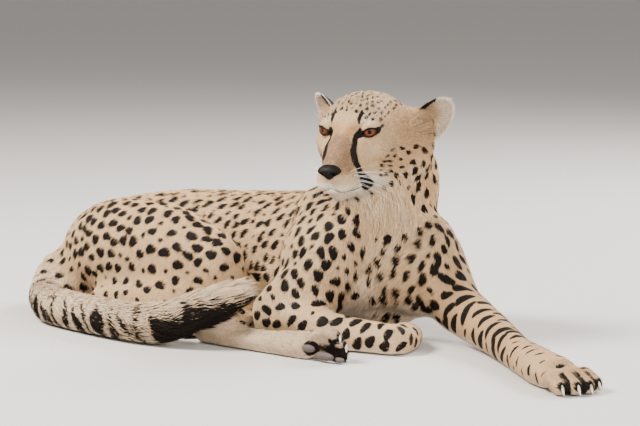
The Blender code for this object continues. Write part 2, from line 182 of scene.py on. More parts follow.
# The animal's parts. line: x, y, z and radius along the part, in metres; lie: how the hair lies, along the
# line if not given; depth, length and lift: the coat's; spot, gap, long and turn: the spots' size, spacing,
# stretch and lean.
thighCoat = dict(depth=.005, length=.0095, lift=14, spot=.0088, gap=.0176, long=1.35, turn=118)
shankCoat = dict(depth=.004, length=.008, lift=14, spot=.0066, long=1.3, turn=90)
footCoat = dict(depth=.0025, length=.006, lift=13, long=1.4, turn=90)
shoulderCoat = dict(depth=.005, length=.0100, lift=14)
forearmCoat = dict(depth=.0035, length=.0075, lift=13)
pawCoat = dict(depth=.0025, length=.006, lift=13, gap=.0180, turn=80)
parts = {
    "trunk": dict(
        line=[(.061, .106, .106, .090), (-.011, .116, .116, .110), (-.108, .120, .104, .104),
              (-.233, .113, .101, .097), (-.350, .081, .100, .093), (-.441, .053, .093, .088),
              (-.506, .028, .086, .070)],
        lie=(-.85, 0, -.35), depth=.0055, length=.0105, lift=15, spot=.0072, gap=.0150, long=1.6, turn=32),
    "chest": dict(
        line=[(.062, .066, .205, .046), (.066, .078, .175, .054), (.066, .083, .140, .056),
              (.060, .060, .080, .050)],
        lie=(.1, -.1, -1), depth=.011, length=.026, lift=15, spot=.0070, gap=.0215, long=1.5, turn=60),
    "neck": dict(
        line=[(.044, .084, .305, .062), (.049, .112, .265, .074), (.031, .132, .212, .084),
              (-.031, .126, .150, .092)],
        lie=(-.25, .1, -1), depth=.007, length=.0125, lift=15, spot=.0074, gap=.0166, long=1.35, turn=0),
    "tail": dict(
        line=[(-.501, .023, .090, .036), (-.531, -.032, .066, .031), (-.498, -.090, .034, .032),
              (-.441, -.137, .030, .034), (-.385, -.166, .030, .034), (-.256, -.188, .030, .034),
              (-.169, -.192, .031, .034), (-.121, -.188, .040, .033), (-.079, -.172, .060, .031),
              (-.031, -.136, .084, .023)],
        depth=.0068, length=.0175, lift=16, spot=.0080, gap=.0300, long=1.5, turn=80),
    "thighRight": dict(
        thighCoat, lie=(-.45, 0, -.9),
        line=[(-.471, .008, .090, .077), (-.391, -.017, .098, .087), (-.261, -.037, .097, .080),
              (-.156, -.042, .084, .058)]),
    "thighLeft": dict(
        thighCoat, lie=(-.6, .2, -.7),
        line=[(-.471, .093, .074, .079), (-.341, .148, .058, .071), (-.181, .123, .046, .054)]),
    "shankRight": dict(
        shankCoat, gap=.0205,
        line=[(-.161, -.044, .070, .046), (-.261, -.077, .046, .044), (-.366, -.088, .030, .029)]),
    "shankLeft": dict(
        shankCoat, gap=.0215,
        line=[(-.181, .118, .042, .047), (-.141, .008, .034, .039), (-.116, -.102, .024, .029)]),
    "footRight": dict(
        footCoat, spot=.0034, gap=.020,
        line=[(-.371, -.092, .028, .027), (-.271, -.100, .020, .024), (-.176, -.106, .017, .024)]),
    "footLeft": dict(
        footCoat | {"length": .0080}, spot=.0030, gap=.024,
        line=[(-.111, -.126, .023, .027), (-.008, -.132, .020, .023), (.084, -.132, .024, .026),
              (.160, -.126, .024, .024)]),
    "shoulderRight": dict(
        shoulderCoat, lie=(-.35, 0, -.95), spot=.0082, gap=.0170, long=1.35, turn=20,
        line=[(-.041, .063, .180, .053), (.019, .030, .135, .065), (.005, -.002, .085, .057),
              (-.041, -.040, .042, .043)]),
    "forearmRight": dict(
        forearmCoat, spot=.0088, gap=.0212, long=1.5, turn=75,
        line=[(-.049, -.042, .040, .043), (.065, -.048, .027, .031), (.167, -.030, .021, .026)]),
    "pawRight": dict(
        pawCoat, spot=.0068, long=1.5,
        line=[(.171, -.022, .020, .026), (.151, .023, .018, .027), (.114, .038, .018, .028)]),
    "shoulderLeft": dict(
        shoulderCoat, spot=.0084, gap=.0172, long=1.45, turn=15,
        line=[(-.021, .173, .182, .046), (.079, .158, .126, .056), (.121, .142, .094, .054),
              (.171, .122, .054, .043)]),
    "forearmLeft": dict(
        forearmCoat, spot=.0116, gap=.0215, long=3.0, turn=82,
        line=[(.173, .121, .052, .042), (.279, .062, .034, .033), (.394, -.026, .024, .026)]),
    "pawLeft": dict(
        pawCoat, spot=.0056, long=3.0,
        line=[(.394, -.026, .024, .026), (.464, -.072, .022, .030), (.540, -.100, .017, .030)]),
    "head": dict(
        line=[(*fromHead(np.array(p[:3])), p[3]) for p in
              ((-.045, 0, -.005, .080), (.010, 0, -.015, .066), (.060, 0, -.048, .040),
               (.085, 0, -.058, .028))],
        depth=.004, length=.010, lift=16, spot=.0035, gap=.013, long=1.4, turn=0),
}
partNames = list(parts)


def rowsOf(*names):
    return [partNames.index(n) for n in names]


def measureParts(points):
    # for each part: how near its line is, which way the line runs there, and how far along it
    near, runs, along = [], [], []
    for part in parts.values():
        line = np.array(part["line"])
        best = np.full(len(points), 9.0)
        run = np.zeros((len(points), 3))
        far = np.zeros(len(points))
        walked = 0.0
        for a, b in zip(line, line[1:]):
            step = b[:3] - a[:3]
            length = np.linalg.norm(step)
            t = np.clip((points - a[:3]) @ step / length ** 2, 0, 1)
            gap = np.linalg.norm(points - a[:3] - t[:, None] * step, axis=1) - mix(a[3], b[3], t)
            closer = gap < best
            best = np.where(closer, gap, best)
            run[closer] = step / length
            far = np.where(closer, walked + t * length, far)
            walked += length
        near.append(best)
        runs.append(run)
        along.append(far)
    return np.array(near), np.array(runs), np.array(along)


# The skin is the frame's flesh closed over its cuts, eased, and let in by the coat's depth.
skinSettings = {"grain": .0054, "rounds": 8, "trunkRounds": 5, "closing": .0006, "headKept": .125,
                "headFine": .135, "headEased": .13, "faceReach": .14, "pawFine": .062, "partBlend": .011,
                "floor": .0012, "pawEnds": ((.525, -.096, .02), (.115, .040, .02), (.135, -.128, .022))}


def makeSkin():
    shape = bmesh.new()
    for name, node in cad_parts.items():
        if not name.startswith("ear"):
            shape.from_mesh(node.data)
    bmesh.ops.remove_doubles(shape, verts=shape.verts, dist=.00001)
    shape.normal_update()
    for vert in shape.verts:
        vert.co += vert.normal * skinSettings["closing"]
    skin = newObject("skin", meshFrom("skin", shape))
    remesh = skin.modifiers.new("close", "REMESH")
    remesh.mode = "VOXEL"
    remesh.voxel_size = skinSettings["grain"]
    skin.data = finishedMesh(skin)
    skin.modifiers.clear()
    editMesh(skin.data, keepLargest)
    points = pointsOf(skin.data)
    edges = read(skin.data.edges, "vertices", 2, int)
    near = measureParts(points)[0]
    broad = near[rowsOf("trunk", "thighRight", "thighLeft", "neck", "tail", "chest")].min(0)
    offPaws = blur(.0, .02, near[rowsOf("pawLeft", "pawRight", "footLeft", "footRight")].min(0))
    points = eased(points, edges, skinSettings["rounds"], mix(.12, .5, offPaws))
    onTrunk = .5 * blur(.03, .0, broad) * offPaws * ~onHead(points, skinSettings["headKept"])
    movePoints(skin.data, eased(points, edges, skinSettings["trunkRounds"], onTrunk))
    report(f"skin closed, {len(points)} points")
    return skin


def keepLargest(shape):
    bodies, unseen = [], set(shape.verts)
    while unseen:
        body = {unseen.pop()}
        waiting = list(body)
        while waiting:
            for edge in waiting.pop().link_edges:
                for other in edge.verts:
                    if other in unseen:
                        unseen.discard(other)
                        body.add(other)
                        waiting.append(other)
        bodies.append(body)
    bodies.remove(max(bodies, key=len))
    for scrap in bodies:
        bmesh.ops.delete(shape, geom=list(scrap), context="VERTS")


def refine(mesh, choose):
    # halves the grain of the faces whose points are all chosen
    chosen = choose(pointsOf(mesh))

    def halve(shape):
        shape.verts.ensure_lookup_table()
        edges = [e for e in shape.edges if chosen[e.verts[0].index] and chosen[e.verts[1].index]]
        bmesh.ops.subdivide_edges(shape, edges=edges, cuts=1, use_grid_fill=True)
        bmesh.ops.triangulate(shape, faces=[f for f in shape.faces if len(f.verts) > 4])

    editMesh(mesh, halve)


def wholeHead(points):
    return onHead(points, skinSettings["headFine"])


def faceOnly(points):
    x, y, z = toHead(points).T
    return wholeHead(points) & (x > .012) & (np.abs(y) < .062) & (z > -.105) & (z < .035)


def pawEnds(points):
    reach = skinSettings["pawFine"]
    return np.any([np.linalg.norm(points - at, axis=1) < reach for at in skinSettings["pawEnds"]], 0)


skin = makeSkin()
for choose in (wholeHead, faceOnly, pawEnds):
    refine(skin.data, choose)
points = pointsOf(skin.data)
edges = read(skin.data.edges, "vertices", 2, int)
points = eased(points, edges, 4, .5 * onHead(points, skinSettings["headEased"]))
movePoints(skin.data, points)
report(f"face refined, {len(points)} points, {len(skin.data.polygons)} faces")

# The toes are rounded bars with a raised knuckle, pressed into the paws' ends. middle: of the row of their
# tips; ahead, across and top: the paw's own directions; spread: half the row's width.
toeRows = {
    "frontLeft": {"middle": (.533, -.099, .0125), "ahead": (.93, -.37, 0), "across": (.37, .93, 0),
                  "top": (0, 0, 1), "spread": .0285, "thick": .0135, "arch": .010},
    "frontRight": {"middle": (.101, .044, .0125), "ahead": (-.95, .3, 0), "across": (.3, .95, 0),
                   "top": (0, 0, 1), "spread": .026, "thick": .0125, "arch": .010},
    "hindLeft": {"middle": (.147, -.128, .0215), "ahead": (.99, .05, -.12), "across": (0, -.35, .93),
                 "top": (0, 1, .1), "spread": .0205, "thick": .0115, "arch": .008},
    "hindRight": {"middle": (-.156, -.107, .0125), "ahead": (1, -.03, 0), "across": (.03, 1, 0),
                  "top": (0, 0, 1), "spread": .021, "thick": .0115, "arch": .008},
}


def toeBars(row):
    # each toe's tip, the way it points, and the way up
    ahead, across, top = (unit(row[k]) for k in ("ahead", "across", "top"))
    for offset in (-1, -1 / 3, 1 / 3, 1):
        tip = np.array(row["middle"]) + across * offset * row["spread"]
        yield tip + ahead * row["arch"] * (1 - offset ** 2), unit(ahead + across * offset * .10), top


def toeGap(where, row):
    # distance outside the nearest toe, how much nearer it is than the next one, and the way out of it
    gaps, ways = [], []
    for tip, fan, top in toeBars(row):
        knuckle = tip - fan * .020 + top * .0075
        gap = np.full(len(where), 9.0)
        way = np.zeros_like(where)
        for a, b, taper in ((tip - fan * .042 + top * .004, knuckle, 0), (knuckle, tip - top * .0005, .06)):
            step = b - a
            t = np.clip((where - a) @ step / (step @ step), 0, 1)
            off = where - a - t[:, None] * step
            reach = np.linalg.norm(off, axis=1)
            here = reach - row["thick"] * (.96 - taper * t)
            closer = here < gap
            gap = np.where(closer, here, gap)
            way[closer] = (off / np.maximum(reach, 1e-5)[:, None])[closer]
        gaps.append(gap)
        ways.append(way)
    order = np.argsort(gaps, axis=0)
    gaps = np.sort(gaps, axis=0)
    return gaps[0], gaps[1] - gaps[0], np.array(ways)[order[0], np.arange(len(where))]


def nearToes(where, row, start, full):
    # 1 at the toes, 0 behind them
    off = where - np.array(row["middle"])
    return blur(start, full, off @ unit(row["ahead"])) * (np.linalg.norm(off, axis=1) < .085)


def shapeToes(points):
    for row in toeRows.values():
        fade = nearToes(points, row, -.046, -.020)
        zone = np.flatnonzero(fade > 0)
        for _ in range(4):
            gap, _, way = toeGap(points[zone], row)
            pull = fade[zone] * blur(.016, .008, np.abs(gap))
            points[zone] -= way * (gap * pull * .8)[:, None]
            points[:, 2] = np.maximum(points[:, 2], .001)
            points = eased(points, edges, 1, .45 * fade)
    return points


points = shapeToes(points)
movePoints(skin.data, points)
near, runs, along = measureParts(points)
weights = np.exp(-np.maximum(near, -.03) / skinSettings["partBlend"])
weights /= weights.sum(0)


def share(*names):
    # how much of each point of the skin belongs to these parts
    return weights[rowsOf(*names)].sum(0)


def worn(key):
    # a setting of the parts, blended over the skin
    return weights.T @ np.array([part[key] for part in parts.values()])


# how much deeper the skin lies where a limb rests against the body, and on the flat left hind foot
folds = {("thighRight", "trunk"): .0075, ("shoulderRight", "trunk"): .0035, ("shoulderRight", "chest"): .0035,
         ("shoulderLeft", "chest"): .0055, ("thighLeft", "trunk"): .0035, ("thighRight", "shankRight"): .0020}
footFlat = .011


def pressSkin(points):
    even = unit(eased(normalsOf(skin.data), edges, 3))
    depth = worn("depth") * mix(.3, 1, blur(.0, .016, points[:, 2]))
    for (a, b), deep in folds.items():
        depth += deep * (4 * share(a) * share(b)) ** 1.5
    behindToes = 1 - nearToes(points, toeRows["hindLeft"], -.050, -.018)
    depth += footFlat * share("footLeft") * blur(-.2, .6, even[:, 2]) * behindToes
    points = points - even * eased(depth, edges, 4)
    points[:, 2] = np.maximum(points[:, 2], skinSettings["floor"])
    return eased(points, edges, 2, .3)


points = pressSkin(points)
movePoints(skin.data, points)

# Each eye's opening is a pointed oval over the ball. at: the ball's centre in the head's axes; turn, tip and
# slant: in degrees; wide, upper and lower: the opening's half width and two heights; lid: the lids' thickness.
eyeSettings = {"at": (.0300, .0335, .0060), "radius": .0152, "turn": 22, "tip": 4, "slant": 12,
               "wide": .0150, "upper": .0033, "lower": .0054, "lid": .0014, "power": 1.55}


def mirrored(place, side):
    # a place or way of the head's left half, taken to that side
    return np.array(place) * (1, side, 1)


def eyeAxes(side):
    # gaze, outward and up of the eye on that side, in head axes; the opening's outer corner stands higher
    turn, tip, slant = (math.radians(eyeSettings[k]) for k in ("turn", "tip", "slant"))
    gaze = np.array([math.cos(turn) * math.cos(tip), math.sin(turn) * math.cos(tip), -math.sin(tip)])
    out = np.cross((0, 0, 1), gaze)
    out /= np.linalg.norm(out)
    up = np.cross(gaze, out)
    out, up = out * math.cos(slant) + up * math.sin(slant), up * math.cos(slant) - out * math.sin(slant)
    return [mirrored(way, side) for way in (gaze, out, up)]


def lidGap(rows, side):
    # For rows in head axes: how far outside the lids' opening each lies, its distance and way from the ball's
    # centre, how far ahead of it, and how far aside and above along the ball.
    gaze, out, up = eyeAxes(side)
    fromCentre = rows - mirrored(eyeSettings["at"], side)
    reach = np.linalg.norm(fromCentre, axis=1)
    ahead, aside, above = fromCentre @ gaze, fromCentre @ out, fromCentre @ up
    a = np.arctan2(aside, ahead) * eyeSettings["radius"]
    b = np.arctan2(above, np.hypot(ahead, aside)) * eyeSettings["radius"]
    high = np.where(b > 0, eyeSettings["upper"], eyeSettings["lower"])
    power = eyeSettings["power"]
    e = (np.abs(a / eyeSettings["wide"]) ** power + np.abs(b / high) ** power) ** (1 / power)
    # distance from the rim, by how fast e grows there
    slope = 1 / np.maximum(np.hypot(a, b), 1e-4)
    return (e - 1) / np.maximum(e * slope, 1e-6), reach, fromCentre, ahead, a, b


noseSettings = {"at": (.1000, 0, -.0455), "radii": (.0118, .0190, .0120)}
# the mouth's height by the angle round the muzzle, up to its corner, with its half width and depth
mouthLine = {"turn": (0, 20, 45, 70, 90, 105, 120),
             "height": (-.0715, -.0755, -.0785, -.0785, -.0775, -.0755, -.0735),
             "centre": .058, "corner": 104, "half": .0013, "deep": .0034}


def mouthGap(rows):
    turn = np.degrees(np.arctan2(np.abs(rows[:, 1]), rows[:, 0] - mouthLine["centre"]))
    gap = rows[:, 2] - np.interp(turn, mouthLine["turn"], mouthLine["height"])
    fade = blur(mouthLine["corner"] + 12, mouthLine["corner"] - 8, turn) * (rows[:, 0] > .02)
    return gap, fade


# dabs that raise (+) or press (-) the face: middle, spread, push; those off the middle are made on both sides
faceDabs = {
    "browRidge": ((.046, .030, .022), (.014, .016, .007), .0035),
    "browOuter": ((.032, .050, .019), (.014, .010, .008), .0020),
    "stop": ((.052, .000, .010), (.018, .013, .014), -.0035),
    "innerCorner": ((.052, .021, -.003), (.011, .007, .010), -.0030),
    "underEye": ((.040, .040, -.015), (.014, .012, .006), -.0012),
    "bridgeSide": ((.068, .022, -.026), (.016, .006, .012), -.0025),
    "cheekbone": ((.020, .055, -.014), (.020, .014, .010), .0020),
    "cheekHollow": ((.040, .042, -.045), (.018, .012, .014), -.0030),
    "whiskerPad": ((.088, .018, -.060), (.014, .010, .011), .0045),
    "lip": ((.094, .012, -.069), (.013, .013, .008), .0090),
    "lipSide": ((.074, .028, -.070), (.016, .010, .010), .0040),
    "lipDip": ((.102, .000, -.064), (.010, .0030, .009), -.0025),
    "chin": ((.090, .000, -.085), (.015, .021, .012), .0150),
    "temple": ((.004, .056, .030), (.020, .012, .014), -.0030),
    "crownGroove": ((.010, .000, .050), (.040, .008, .020), -.0012),
}


def shapeLids(rows, side):
    # the lids stand over the ball with a rounded rim, and within the opening the skin goes behind it
    gap, reach, fromCentre, ahead, _, b = lidGap(rows, side)
    radius = eyeSettings["radius"]
    rim = radius + eyeSettings["lid"] + .0010 * hill(gap, .0016, .0012)
    rim += np.where(b > 0, .0008, 0)    # the upper lid stands farther out
    wanted = mix(rim, np.maximum(reach, radius + .0012), blur(.0022, .0125, gap))
    wanted = np.where(gap < 0, mix(rim, radius * .80, blur(.0, -.0011, gap)), wanted)
    front = blur(-.5 * radius, -.1 * radius, ahead) * blur(radius * 2.6, radius * 2.0, reach)
    centre = mirrored(eyeSettings["at"], side)
    return rows + (centre + fromCentre / reach[:, None] * wanted[:, None] - rows) * front[:, None]


def shapeFace(points, normals):
    rows = toHead(points)
    out = normals @ headTurn
    for middle, spread, push in faceDabs.values():
        for side in ((1, -1) if middle[1] else (1,)):
            away = (rows - mirrored(middle, side)) / np.array(spread)
            rows = rows + out * (push * np.exp(-(away ** 2).sum(1)))[:, None]
    for side in (1, -1):
        rows = shapeLids(rows, side)
    gap, fade = mouthGap(rows)
    rows = rows - out * (mouthLine["deep"] * hill(gap, 0, mouthLine["half"]) * fade)[:, None]
    return fromHead(rows)


face = onHead(points, skinSettings["faceReach"])
points = np.where(face[:, None], shapeFace(points, normalsOf(skin.data)), points)
movePoints(skin.data, points)
even = unit(eased(normalsOf(skin.data), edges, 3))
report("face shaped")

# what is known at each point of the skin: its place in head axes, and how far along the tail it lies
rows = toHead(points)
hx, hy, hz = rows.T
wide = np.abs(hy)
height = points[:, 2]
headShare, tailShare, chestShare = (share(name) for name in ("head", "tail", "chest"))
offHead = headShare < .5
tailRun = along[partNames.index("tail")]
tailLength = tailRun.max()
tailFar = tailRun / tailLength


def lieOfCoat():
    flow = np.zeros_like(points)
    for k, (name, part) in enumerate(parts.items()):
        if name == "head":
            # on the head the hair runs back from the nose
            back = rows - np.array((.125, 0, -.050))
            back[:, 1] *= 1.1
            back[:, 2] -= .035 * blur(.03, -.05, hx) * blur(.03, -.03, hz)
            lie = unit(back) @ headTurn.T
        elif "lie" in part:
            lie = np.broadcast_to(unit(part["lie"]), points.shape)
        else:
            lie = runs[k] + np.array((0, 0, -.15))
        flow += lie * weights[k][:, None]
    flow = unit(flow - even * dot(flow, even))
    flow = eased(flow, edges, 6)
    return unit(flow - even * dot(flow, even))


flow = lieOfCoat()
across = np.cross(even, flow)


def spotFree():
    # where spots may sit: not on the face, the throat, the underside and the left hind foot
    temple = blur(.046, .056, wide) * blur(-.026, -.014, hz) * blur(-.062, -.048, hx)
    bare = headShare * np.max([blur(.034, .044, hx), blur(.020, .034, hx) * blur(.03, .01, hz),
                               blur(-.058, -.072, hz) * blur(-.04, .0, hx), temple * blur(.036, .026, hz)], 0)
    bare = np.maximum(bare, share("footLeft") * 1.2)
    throat = chestShare * blur(.14, .18, height)
    under = blur(-.35, -.75, even[:, 2]) * (height < .1)
    return (bare < .5) & (throat < .45) & (under < .8)


def seedSpots():
    # rows of place, long axis, way up, radius, stretch and phase, one for each spot
    gap, size, stretch, lean = (worn(key) for key in ("gap", "spot", "long", "turn"))
    # on the head the spots grow from the brow to the cheeks and the nape
    back = np.maximum(blur(-.01, -.09, hx), blur(.02, -.01, hz) * blur(.03, -.05, hx))
    gap = mix(gap, mix(.0080, .0185, back), headShare)
    size = mix(size, mix(.0030, .0060, back), headShare)
    stretch = mix(stretch, 1.45, headShare)
    tree = treeOf(points)
    free = spotFree()
    coated = np.flatnonzero(free)
    found, scales = [], []
    for k in dice.permutation(len(points)):
        if not free[k]:
            continue
        scale = dice.uniform(.85, 1.14) if dice.random() > .22 else dice.uniform(.42, .66)
        keep = gap[k] * (.66 + .30 * scale) * dice.uniform(.92, 1.04)
        turn = math.radians(lean[k])
        axis = flow[k] * math.cos(turn) + across[k] * math.sin(turn)
        for shift in (-1, 0, 1):    # spots keep farther apart along their own length
            middle = points[k] + axis * shift * keep * min(.30 * (stretch[k] - 1), .6)
            free[[j for _, j, _ in tree.find_range(middle, keep)]] = False
        found.append(k)
        scales.append(scale)
    # each goes to the middle of the skin that is nearest to it, so that they stand evenly
    for _ in range(4):
        owners = treeOf(points[found])
        owner = np.array([owners.find(points[k])[1] for k in coated])
        count = np.bincount(owner, minlength=len(found))[:, None]
        total = np.stack([np.bincount(owner, col, len(found)) for col in points[coated].T], 1)
        middle = total / np.maximum(count, 1)
        found = [tree.find(p)[1] for p in np.where(count > 0, middle, points[found])]
    report(f"{len(found)} spots")
    turn = (np.radians(lean[found]) + dice.normal(0, .22, len(found)))[:, None]
    axis = flow[found] * np.cos(turn) + across[found] * np.sin(turn)
    radius, stretch = size[found] * scales, stretch[found] * dice.uniform(.78, 1.18, len(found))
    phase = dice.uniform(0, 6.3, len(found))
    return np.column_stack((points[found], axis, even[found], radius, stretch, phase))


def spotField(where, facing, seeds):
    # how far each place lies outside the nearest spot, less than nothing inside it
    tree = treeOf(seeds[:, :3])
    nearest = np.array([[j for _, j, _ in tree.find_n(p, 4)] for p in where])
    found = np.full(len(where), .05)
    for k in nearest.T:
        here, axis, up, radius, long, phase = np.split(seeds[k], (3, 6, 9, 10, 11), 1)
        side = np.cross(up, axis)
        away = where - here
        u, v = dot(away, axis) / long ** .5, dot(away, side) * long ** .5
        angle = np.arctan2(v, u)
        wave = 1 + .10 * np.sin(2 * angle + phase) + .09 * np.sin(3 * angle + phase * 2.7)
        # the height over the spot's own plane counts too, so no spot shows through to a limb's other side
        gap = np.sqrt(u ** 2 + v ** 2 + (dot(away, up) * .5) ** 2) - radius * wave
        gap = np.where(dot(facing, up) > 0, gap, .05)
        found = np.minimum(found, gap[:, 0])
    return found


def stroke(places, line, halfWidth):
    # distance from a drawn line of (x, y, z) with its half widths
    best = np.full(len(places), .05)
    line = np.array(line)
    for a, b, wa, wb in zip(line, line[1:], halfWidth, halfWidth[1:]):
        step = b - a
        t = np.clip((places - a) @ step / (step @ step), 0, 1)
        best = np.minimum(best, np.linalg.norm(places - a - t[:, None] * step, axis=1) - mix(wa, wb, t))
    return best


seeds = seedSpots()
skinTree = treeOf(rows)
# the black lines of the face, in head axes, with their half widths
facePaths = {
    "tear": {"line": [(.046, .024, .008), (.0515, .0212, .0005), (.0595, .0215, -.009), (.067, .0225, -.019),
                      (.069, .025, -.028), (.069, .028, -.037), (.065, .030, -.049), (.055, .031, -.061),
                      (.045, .032, -.073)],
             "half": (.0034, .0042, .0046, .0050, .0052, .0052, .0056, .0070, .0105)},
    "brow": {"line": [(.0450, .0225, .0165), (.0440, .0222, .0225), (.0370, .0220, .029),
                      (.0310, .0208, .035)],
             "half": (.0014, .0033, .0031, .0014)},
    "groove": {"line": [(.1120, 0, -.0530), (.1105, 0, -.0610), (.1080, 0, -.0690)],
               "half": (.0012, .0008, .0008)},
}
for path in facePaths.values():
    path["line"] = [tuple(skinTree.find(p)[0]) for p in path["line"]]
# The sole of the left hind foot is turned to the front. Each pad: its middle, its radii, and how far the dark
# fur round it reaches.
padSettings = [((.1070, -.1470, .0185), (.0125, .0042, .0056), .0125),
               ((.1350, -.1435, .0095), (.0165, .0050, .0062), .0205),
               ((.1570, -.1375, .0060), (.0085, .0045, .0040), .0150)]
# gap: from bar to bar; above and below: their half widths there; slant: how far forward they lean
tailRings = {"gap": .0285, "above": .0018, "below": .0080, "slant": .011}
whiskerRows = {"heights": (-.050, -.0555, -.061, -.0665), "first": .083, "step": .0070, "count": 4,
               "long": (.042, .074), "thick": .00018, "dot": .0011}


def rootWhiskers():
    # where each whisker of the pads grows, as place, point of the skin, row, number in it and side
    for side in (1, -1):
        for i, level in enumerate(whiskerRows["heights"]):
            for j in range(whiskerRows["count"]):
                ahead = whiskerRows["first"] - j * whiskerRows["step"] - .002 * i
                at, k, _ = skinTree.find((ahead, side * (.021 + .0022 * j), level - .0008 * j))
                yield np.array(at), k, i, j, side


whiskerRoots = list(rootWhiskers())


def markFace(found, where):
    here = toHead(where)
    x, y, z = here.T
    close = np.linalg.norm(here, axis=1) < .13
    muzzle = np.flatnonzero(close & (x > .045) & (z < -.035))
    dots = np.min([np.linalg.norm(here[muzzle] - root[0], axis=1) for root in whiskerRoots], 0)
    dots -= whiskerRows["dot"]
    groove = stroke(here[muzzle], *facePaths["groove"].values())
    found[muzzle] = np.minimum(found[muzzle], np.minimum(dots, groove))
    folded = np.stack((x, np.abs(y), z), 1)    # both sides of the head at once
    wander = .0010 * np.sin(z * 420 + 1)[:, None] * (1, .6, 0)
    tear = stroke(folded + wander, *facePaths["tear"].values())
    brow = stroke(folded, *facePaths["brow"].values())
    found = np.where(close, np.minimum(np.minimum(found, tear), brow), found)
    for side in (1, -1):
        # the lids' black edge widens above, and to both corners
        gap, reach, _, _, a, b = lidGap(here, side)
        gap = np.where(gap > 0, gap * (reach / eyeSettings["radius"]) ** 2, gap)
        band = .0033 + .0012 * (blur(-.004, .010, b) + blur(.006, .013, np.abs(a)))
        band += .0034 * blur(.010, .018, a)
        found = np.where(close & (reach < .025), np.minimum(found, gap - band), found)
    mouth, fade = mouthGap(here)
    return np.where(close & (fade > .2), np.minimum(found, np.abs(mouth) - .0007 * fade), found)


def markFeet(found, where, facing):
    # dark between the toes and at their roots, partly dark fur and partly painted shade in the gaps, and dark
    # fur round the pads of the upturned sole
    for row in toeRows.values():
        gap, part, _ = toeGap(where, row)
        onTop = (facing @ unit(row["top"]) - .96) * .012
        between = np.maximum(part - .0068 * nearToes(where, row, -.030, -.006), onTop)
        for tip, fan, top in toeBars(row):
            root = np.linalg.norm(where - tip - fan * row["thick"] * .7 - top * .002, axis=1) - .0072
            between = np.minimum(between, root)
        onToes = (nearToes(where, row, -.020, -.010) > .5) & (gap < .007)
        found = np.where(onToes, np.minimum(found + .004, between), found)
    for (a, _, ra), (b, _, rb) in zip(padSettings, padSettings[1:]):
        ring = stroke(where - np.array((.003, 0, 0)), (a, b), (ra, rb))
        found = np.minimum(found, ring + .02 * (facing[:, 1] > .3))
    return found


def wave(where, size, *slope, phase=0):
    return size * np.sin(where @ np.array(slope, float) + phase)


def markTail(found, where, facing, run):
    # along the tail the spots give way to bars, wide beneath, before a dark end and a pale tip
    far, upward = run / tailLength, facing[:, 2]
    wobble = wave(where, .010, 60, -45, 85) + wave(where, .007, -110, 140, 60)
    beat = np.abs((run + wobble * .6 + upward * tailRings["slant"]) / tailRings["gap"] % 1 - .5)
    half = mix(tailRings["above"], tailRings["below"], blur(.90, -.20, upward))
    ring = beat * tailRings["gap"] - half + .020 * blur(.16, .06, far)
    found = np.minimum(found + .008 * blur(.25, .5, far), ring)
    # the last of it is black beneath and pale above
    under = (upward - mix(.30, -.30, blur(.90, .98, far)) + wobble * 14 + (beat * 4 - 1) * .34) * .016
    return np.where(far > .76, mix(found, under, blur(.76, .84, far)), found)


def drawMarks(where, facing, run, onTail):
    # How far each place lies from the nearest black mark, in metres. It is reckoned at any place with the
    # skin's own measures there, so that locks carry the marks sharply.
    found = markFace(spotField(where, facing, seeds), where)
    found = markFeet(found, where, facing)
    return np.where(onTail, markTail(found, where, facing, run), found)


onTail = tailShare > .5
marks = drawMarks(points, even, tailRun, onTail)
tip = blur(.91, .99, tailFar + .04 * even[:, 2]) * onTail
footShare, foreShare = share("footLeft"), share("forearmLeft")

# where the coat is pale, where it is warm, and where dark hair greys it; the strongest of each list holds. Some
# entries are painted light and shade, as marked.
pale = np.max([
    # the chest is pale, more so low down: partly its own pale fur and partly painted light where the lower
    # chest lies in shade
    chestShare * mix(.62, .34, blur(.13, .18, height)),
    blur(-.2, -.8, even[:, 2]) * .70 * offHead,
    .14 * share("shoulderRight", "forearmRight", "pawRight"),
    .36 * tailShare + .34 * footShare,
    headShare * blur(-.040, -.062, hz) * mix(.30, .90, blur(-.058, -.074, hz)) * blur(-.03, .03, hx),
    headShare * blur(.016, .0, np.abs(hz + .022)) * blur(.0, .03, hx) * blur(.026, .036, wide) * .20,
    headShare * hill(hz, .021, .008) * blur(.02, .04, hx) * blur(.018, .028, wide) * .36,
    headShare * .22 * blur(.01, .04, hz),
    tip * .38], 0)
warm = np.max([
    blur(.45, .95, even[:, 2]) * .35 * offHead,
    headShare * blur(.050, .070, hx) * blur(.034, .022, wide) * blur(-.058, -.044, hz) * .75,
    # painted light: a warmer, golden patch low on the right thigh's front
    .55 * share("thighRight") * blur(.11, .05, height) * blur(-.36, -.24, points[:, 0]),
    headShare * hill(wide, .012, .012) * hill(hz, .007, .012) * blur(.03, .045, hx),
    headShare * blur(.030, -.010, hx) * blur(.030, .052, wide) * blur(-.090, -.060, hz) * .62,
    tip * .30 + .24 * tailShare * blur(.5, .2, tailFar),
    .38 * foreShare + .16 * footShare + .25 * share("shoulderLeft", "neck")], 0)
dusk = np.max([
    headShare * blur(.046, .068, hx) * blur(.036, .024, wide) * blur(-.058, -.044, hz),
    chestShare * .22 * blur(.10, .17, height),
    headShare * hill(wide, .017, .006) * blur(.02, .04, hx) * blur(-.02, .0, hz) * .45,
    headShare * blur(.05, .03, wide) * blur(.02, .035, hz) * .60,
    headShare * .95 * hill(hx, -.045, .032) * hill(wide, .078, .028) * hill(hz, 0, .042),
    headShare * blur(.038, .055, wide) * blur(-.06, -.02, hz) * .58,
    headShare * .40,
    tailShare * mix(.08, .42, blur(.45, .80, tailFar)) * (1 - tip * .6),
    # the left hind foot is greyed partly by dark ticking and partly as painted shade
    .50 * footShare + .30 * share("pawLeft") + .26 * foreShare], 0)
pale, warm, dusk = (eased(f, edges, 5)[:, 0] for f in (pale, warm, dusk))
report("markings drawn")


